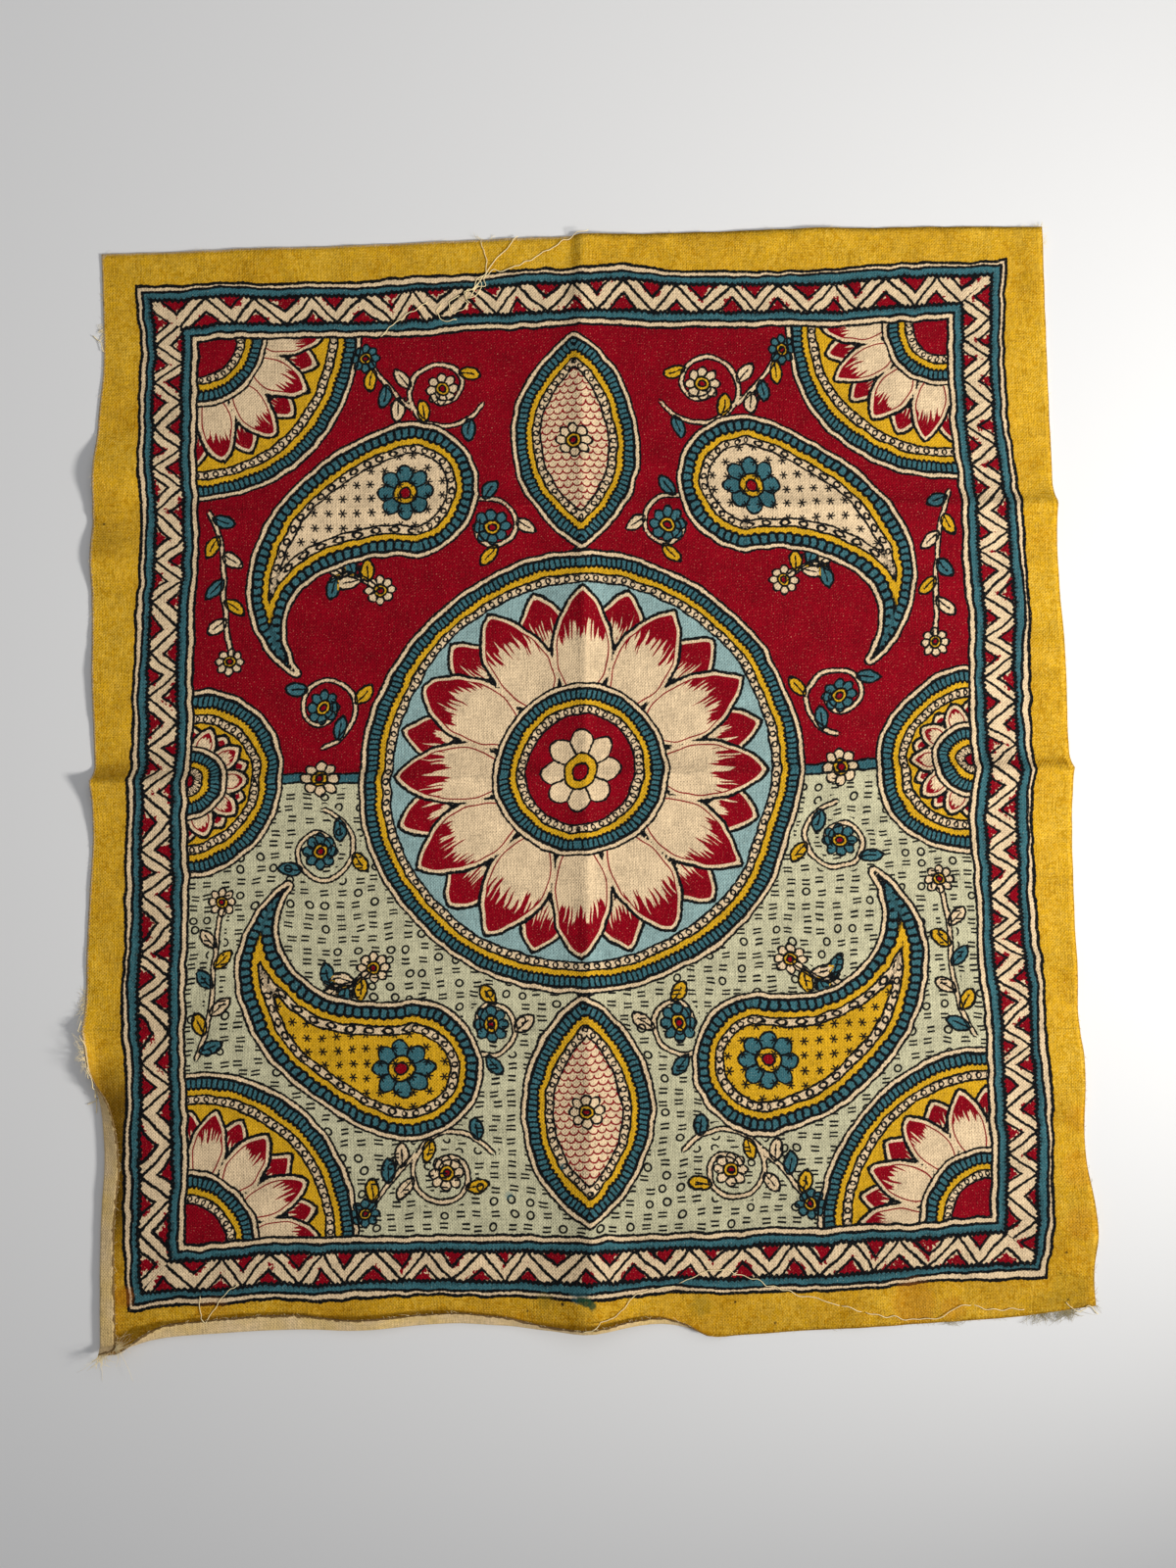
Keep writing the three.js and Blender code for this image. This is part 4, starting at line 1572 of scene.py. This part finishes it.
springDrawing = {
    "stemHalf": 1.2,
    "stemLine": 1.25,
    "stemPen": 0.34,
    "leafPen": 0.42,
    "veinPen": 0.26,
    "veinEnd": 0.72,  # part of the leaf's length
    "petals": 8,
    "petalDip": 0.24,  # between two petals, and the eye and its middle, in flower radii
    "eye": 0.42,
    "heart": 0.2,
    "rimPen": 0.44,
    "petalPen": 0.38,
    "eyePen": 0.42,
    "heartPen": 0.36,
}


def paintStems(tree, colour, pen, clear):
    side, far, _ = fieldParts(tree, "stem")
    half = springDrawing["stemHalf"]
    colour = paintOver(tree, colour, "cotton", least(within(far - half), clear))
    line = abs(side) - springDrawing["stemLine"]
    pen.stroke(line, springDrawing["stemPen"], within(far - 2 * half), clear)
    return colour


def paintLeaves(tree, colour, pen, clear):
    along, across, kind = fieldParts(tree, "leaf")
    distance, _, _ = fieldParts(tree, "nearness")
    leaf = least(within(distance), clear)
    colour = paintOver(tree, colour, "teal", leaf)
    colour = paintOver(tree, colour, "mustard", least(leaf, kind.calc("GREATER_THAN", 0.5)))
    colour = paintOver(tree, colour, "cotton", least(leaf, kind.calc("GREATER_THAN", 1.5)))
    pen.stroke(distance, springDrawing["leafPen"], clear)
    veined = within(along - springDrawing["veinEnd"], 0.05)
    pen.stroke(across, springDrawing["veinPen"], leaf, veined)
    return colour


# Flowers of eight petals round a mustard eye with a red middle; the rim follows a cosine
def paintFlowers(tree, colour, pen):
    x, y, size = fieldParts(tree, "flower")
    _, distance, _ = fieldParts(tree, "nearness")
    drawing = springDrawing
    place = within(distance - 1)
    radius = abs(size)
    far = hypotenuse(x, y)
    turn = y.calc("ARCTAN2", x) * (drawing["petals"] / 2)
    ripple = abs(turn.calc("COSINE"))
    rim = far - radius * (ripple * drawing["petalDip"] + (1 - drawing["petalDip"]))
    eye = far - radius * drawing["eye"]
    heart = far - radius * drawing["heart"]
    flower = least(within(rim), place)
    colour = paintOver(tree, colour, "cotton", flower)
    colour = paintOver(tree, colour, "teal", least(flower, size.calc("LESS_THAN", 0)))
    colour = paintOver(tree, colour, "mustard", least(within(eye), place))
    colour = paintOver(tree, colour, "madder", least(within(heart), place))
    pen.stroke(rim, drawing["rimPen"], place)
    pen.stroke(ripple * far * 0.25, drawing["petalPen"], flower, beyond(eye))
    pen.stroke(eye, drawing["eyePen"], place)
    pen.stroke(heart, drawing["heartPen"], place)
    return colour


weave = {
    "pitch": 0.82,
    "slub": 0.85,  # usual width of a thick or thin thread
    "slubShade": 0.46,
    "crossingShade": 0.035,
    "crossingHeight": 0.35,
    "depth": 0.25,
    "strength": 0.9,
}


# Plain weave: threads over and under by the product of two sines, with thick and thin threads
def makeWeaveGroup():
    group = bpy.data.node_groups.new("clothWeave", "ShaderNodeTree")
    group.interface.new_socket("Shade", in_out="OUTPUT", socket_type="NodeSocketFloat")
    group.interface.new_socket("Relief", in_out="OUTPUT", socket_type="NodeSocketFloat")
    end = group.nodes.new("NodeGroupOutput")
    threads = mapPlace(group, "threads")
    turns = math.pi / (weave["pitch"] * mm)
    x, y, _ = vectorParts(group, scaled(group, threads, (turns, turns, 1)))
    crossing = x.calc("SINE") * y.calc("SINE")
    upright = cloud(group, threads, weave["slub"], 1.0, (1, 0.14, 1))
    level = cloud(group, threads, weave["slub"], 1.0, (0.14, 1, 1))
    slubs = upright + level
    shade = slubs * weave["slubShade"] + crossing * weave["crossingShade"] + 1
    relief = slubs + crossing * weave["crossingHeight"]
    group.links.new(shade.socket, end.inputs["Shade"])
    group.links.new(relief.socket, end.inputs["Relief"])
    print("weave made:", len(group.nodes), "nodes")
    return group


weaveGroup = makeWeaveGroup()


# Puts the weave's relief on a material, and returns its shade
def addWeave(tree, shader):
    node = tree.nodes.new("ShaderNodeGroup")
    node.node_tree = weaveGroup
    bump = tree.nodes.new("ShaderNodeBump")
    bump.inputs["Strength"].default_value = weave["strength"]
    bump.inputs["Distance"].default_value = weave["depth"] * mm
    tree.links.new(node.outputs["Relief"], bump.inputs["Height"])
    tree.links.new(bump.outputs["Normal"], shader.inputs["Normal"])
    return Value(tree, node.outputs["Shade"])


# A colour made lighter or darker by a factor
def shaded(tree, colour, shade):
    node = tree.nodes.new("ShaderNodeVectorMath")
    node.operation = "SCALE"
    tree.links.new(colour, node.inputs[0])
    tree.links.new(shade.socket, node.inputs["Scale"])
    return node.outputs[0]


marginDyeAndShade = {
    "clouds": (38, 1.6),  # pitch of the broad clouds, and how much of the darker dye they bring
    "wisps": (5, 1.8),
    "wispTwist": 1.6,
    "paleWisps": 9,  # how narrow the pale wisps are
    "lowFrom": -225,  # from here down the mustard is darker: painted shade, and a duller dye
    "lowSlope": 0.02,
    "lowDark": 0.45,
    "byBorder": 5,  # and this close to the border
    "byBorderDark": 0.3,
    "dark": 0.2,
    # how dark the painted shade beside the folds is
    "foldDark": 0.85,
}


# Mustard brushed on unevenly: broad clouds, pale wisps and a duller tone by the border; darker at the
# bottom, partly painted shade and partly a duller dye; and painted shade beside the folds
def paintMargin(tree, threads, depth, turned):
    dye = marginDyeAndShade
    pitch, cloudShare = dye["clouds"]
    clouds = cloud(tree, threads, pitch, 2.0)
    pitch, wispShare = dye["wisps"]
    wisps = cloud(tree, threads, pitch, 3.0, twist=dye["wispTwist"])
    ridge = (abs(wisps) * -dye["paleWisps"] + 1).calc("MAXIMUM", 0)
    _, y = inMillimetres(tree, threads)
    # darker at the bottom: partly painted shade, partly a duller dye
    low = limited((dye["lowFrom"] - y) * dye["lowSlope"]) * dye["lowDark"]
    nearBorder = (depth * (1 / dye["byBorder"]) + 1).calc("MAXIMUM", 0) * dye["byBorderDark"]
    dark = clouds * cloudShare + wisps * wispShare + nearBorder + low + dye["dark"]
    margin = paintOver(tree, "mustard", "ochre", limited(dark))
    wisp = (ridge * (0.75 - clouds)).calc("MULTIPLY", 0.5, clamp=True)
    margin = paintOver(tree, margin, "paleMustard", wisp)
    # painted shade beside the turned margin and at the creases' ends
    return paintOver(tree, margin, "umberAndShade", turned * dye["foldDark"])


# drops and smears of dye on the sheet: place, radius, dye and how much of it
clothMarks = (
    (-21, -264, 0.9, "ink", 0.9), (-39, -268, 0.6, "ink", 0.7), (67, -267, 0.6, "ink", 0.8),
    (100, -263, 0.5, "ink", 0.7), (87, -278, 0.7, "ink", 0.7), (237, -247, 0.6, "ink", 0.7),
    (234, -258, 0.5, "ink", 0.6), (237, -271, 0.6, "ink", 0.8), (-251, 145, 0.8, "ink", 0.8),
    (255, -81, 0.9, "madder", 0.8), (-13, -259, 4, "teal", 0.45),
    (-11.6, -261.6, 1.8, "deepGreen", 0.85), (-9, -262.6, 2.4, "deepGreen", 0.9),
    (-6, -264.4, 2.2, "deepGreen", 0.9), (244, -277, 5, "ink", 0.35), (-19, -196, 1.5, "teal", 0.5),
    (-47, -210, 2, "teal", 0.4), (246, -205, 9, "rust", 0.25), (247, -180, 7, "rust", 0.2),
    (245, -232, 8, "rust", 0.25), (158, -270, 11, "rust", 0.3), (178, -274, 6, "rust", 0.3),
    (50, -268, 5, "olive", 0.3), (238, -266, 9, "olive", 0.25), (225, -275, 8, "olive", 0.2),
    (-200, -266, 9, "rust", 0.15), (-245, -255, 5, "rust", 0.4), (-30, -263, 4, "olive", 0.3),
)


# A mark fades over part of its radius, and its outline is ragged
def addMarks(tree, colour, threads):
    x, y = inMillimetres(tree, threads)
    smear = cloud(tree, threads, 3, 1.0) * 3
    for markX, markY, radius, dye, strength in clothMarks:
        far = hypotenuse(x - markX, y - markY) + smear * min(1, radius * 0.35)
        colour = paintOver(tree, colour, dye, within(far - radius, 0.3 + radius * 0.4) * strength)
    return colour


fieldDrawing = {
    "bandHalf": 2.4,  # of the plain band between the red ground and the pale one
    "bandPen": 0.4,
    "clearOfFigures": 3.4,
    "clearOfStems": 3.6,
    "dashesBelow": -5,
}


# The field: red above, pale below, a plain band between, then everything that is drawn on it
def paintField(tree, pen, a, b, depth, threads):
    drawing = fieldDrawing
    field = beyond(depth - paintedDesign["border"]["field"])
    low = within(b)
    fromBand = abs(b) - drawing["bandHalf"]
    outer, inner, _ = fieldParts(tree, "figure")
    _, far, _ = fieldParts(tree, "stem")
    clear = least(beyond(least(outer, inner) - drawing["clearOfFigures"]), field)
    offStems = beyond(far - drawing["clearOfStems"])
    colour = paintOver(tree, "madder", "paleGreen", low)
    colour = paintOver(tree, colour, "teal", within(fromBand))
    pen.stroke(fromBand, drawing["bandPen"], clear)
    pen.add(least(dashMarks(a, b), clear, offStems, within(b - drawing["dashesBelow"])))
    colour = paintStems(tree, colour, pen, clear)
    colour = paintLeaves(tree, colour, pen, clear)
    colour = paintFigures(tree, colour, pen, a, b)
    colour = paintPetals(tree, colour, pen, threads)
    colour = paintFlowers(tree, colour, pen)
    return colour, least(pen.drawn, field)


wearAndShade = {
    "fleckPitch": 0.8,
    "fleckFrom": 0.2,  # of the fine noise, above which cotton shows through the ink
    "fleckGain": 2.2,
    "rim": (0.8, 0.6),  # how far from the cut edge it reaches, and its softness
    "darkRim": 0.45,
    "paleRim": 0.75,
    "crest": (0.5, 1.2),  # half width and softness of a crease's darker crest: wear, and painted shade
    "crestDark": 0.16,
    "clouds": (13, 0.45),
    "grain": 0.6,
    "backClouds": (13, 0.25),
}


def paintedMaterial():
    material, tree, shader = newMaterial("paintedFace", 0.9, 0.08)
    threads = mapPlace(tree, "threads")
    a, b = inMillimetres(tree, mapPlace(tree, "design"))
    rough = cloud(tree, threads, 1.6) * brush["roughness"]
    gapX = paintedDesign["halfWidth"] - abs(a)
    gapY = paintedDesign["halfLength"] - abs(b)
    depth = least(gapX, gapY)
    level, upright, _ = fieldParts(tree, "zigzag")
    zig = choose(gapX.calc("LESS_THAN", gapY), upright, level)
    colour, fieldInk = paintField(tree, Pen(rough), a, b, depth, threads)

    # the border and the margin
    pen = Pen(rough)
    colour = paintOver(tree, colour, "cotton", within(depth - paintedDesign["border"]["field"]))
    colour = paintBorder(tree, colour, pen, depth, zig, rough)
    # the crease field's third part is the painted shade beside the margin's folds
    fromUpright, fromLevel, turned = fieldParts(tree, "crease")
    colour = paintOver(tree, colour, paintMargin(tree, threads, depth, turned), within(depth))

    # cotton flecks that took no ink, then the ink and stray marks
    fine = cloud(tree, threads, wearAndShade["fleckPitch"], 1.0)
    fleck = (fine - wearAndShade["fleckFrom"]).calc("MULTIPLY", wearAndShade["fleckGain"], clamp=True)
    colour = paintOver(tree, colour, "cotton", fleck)
    colour = paintOver(tree, colour, "ink", most(fieldInk, pen.drawn) * (1 - fleck))
    colour = addMarks(tree, colour, threads)

    # rims, pale on the left and dyed dark on the right
    acrossSheet, _, _ = vectorParts(tree, threads)
    onRight = acrossSheet.calc("GREATER_THAN", 0)
    _, _, rim = fieldParts(tree, "nearness")
    reach, softness = wearAndShade["rim"]
    edgeLine = within(rim + fine * 2 - reach, softness)
    colour = paintOver(tree, colour, "umberAndShade", least(edgeLine * wearAndShade["darkRim"], onRight))
    colour = paintOver(tree, colour, "cotton", least(edgeLine * wearAndShade["paleRim"], 1 - onRight))

    # creases' crests darker from wear and painted shade, uneven dye, threads
    half, softness = wearAndShade["crest"]
    crest = most(*(within(abs(line) - half, softness) for line in (fromUpright, fromLevel)))
    pitch, size = wearAndShade["clouds"]
    shade = addWeave(tree, shader) + cloud(tree, threads, pitch, 2.0) * size
    shade = shade + fine * wearAndShade["grain"] - crest * wearAndShade["crestDark"]
    tree.links.new(shaded(tree, colour, shade), shader.inputs["Base Color"])
    print("painted face:", len(tree.nodes), "nodes")
    return material


# where the turned margins' cut edge is darkened, on the sheet: dye soaked into it, and painted shadow
# along it
soakedAndShadedEdge = {
    "reach": 0.9,
    "raggedness": (3, 2.4),
    "below": -120,
    "leftOf": 66,
    "dark": 0.85,
}


# The unpainted side: cotton, with the mustard showing faintly through
def backMaterial():
    material, tree, shader = newMaterial("bareBack", 0.92, 0.15)
    threads = mapPlace(tree, "threads")
    colour = paintOver(tree, "cotton", "paleMustard", cloud(tree, threads, 18, 2.0) * 0.8 + 0.3)
    x, y = inMillimetres(tree, threads)
    _, _, rim = fieldParts(tree, "nearness")
    pitch, size = soakedAndShadedEdge["raggedness"]
    edge = within(rim + cloud(tree, threads, pitch, 2.0) * size - soakedAndShadedEdge["reach"])
    # a dark line along the turned margins' cut edge: soaked dye and painted shadow
    soakedAndShaded = least(edge, within(y - soakedAndShadedEdge["below"]), within(x - soakedAndShadedEdge["leftOf"]))
    colour = paintOver(tree, colour, "umberAndShade", soakedAndShaded * soakedAndShadedEdge["dark"])
    pitch, size = wearAndShade["backClouds"]
    shade = addWeave(tree, shader) + cloud(tree, threads, pitch, 2.0) * size
    tree.links.new(shaded(tree, colour, shade), shader.inputs["Base Color"])
    print("bare back:", len(tree.nodes), "nodes")
    return material


# Cotton yarn, paler and darker by turns; so much of it near the lower right corner is dyed olive
def yarnMaterial(name, dyed):
    material, tree, shader = newMaterial(name, 0.8, 0.2)
    place = tree.nodes.new("ShaderNodeTexCoord").outputs["Object"]
    shade = cloud(tree, place, 7, 2.0) * 0.5 + 1.05
    x, y = inMillimetres(tree, place)
    dyedFrom, dyedSlope = 380, 0.03  # distance towards that corner, and how fast it comes on
    corner = limited((x - y - dyedFrom) * dyedSlope)
    colour = paintOver(tree, "yarn", "darkOlive", corner * dyed)
    tree.links.new(shaded(tree, colour, shade), shader.inputs["Base Color"])
    return material


looseYarns.data.materials.append(yarnMaterial("bareYarn", 0))
frayedEdges.data.materials.append(yarnMaterial("frayedYarn", 0.65))
clothData.materials.append(paintedMaterial())
clothData.materials.append(backMaterial())
print("cloth painted on its face and left bare on its back")


# Riding, and the solid model's cloth hidden

for piece in (cloth, looseYarns, frayedEdges):
    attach(piece, "root")
    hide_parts("panel_cloth")
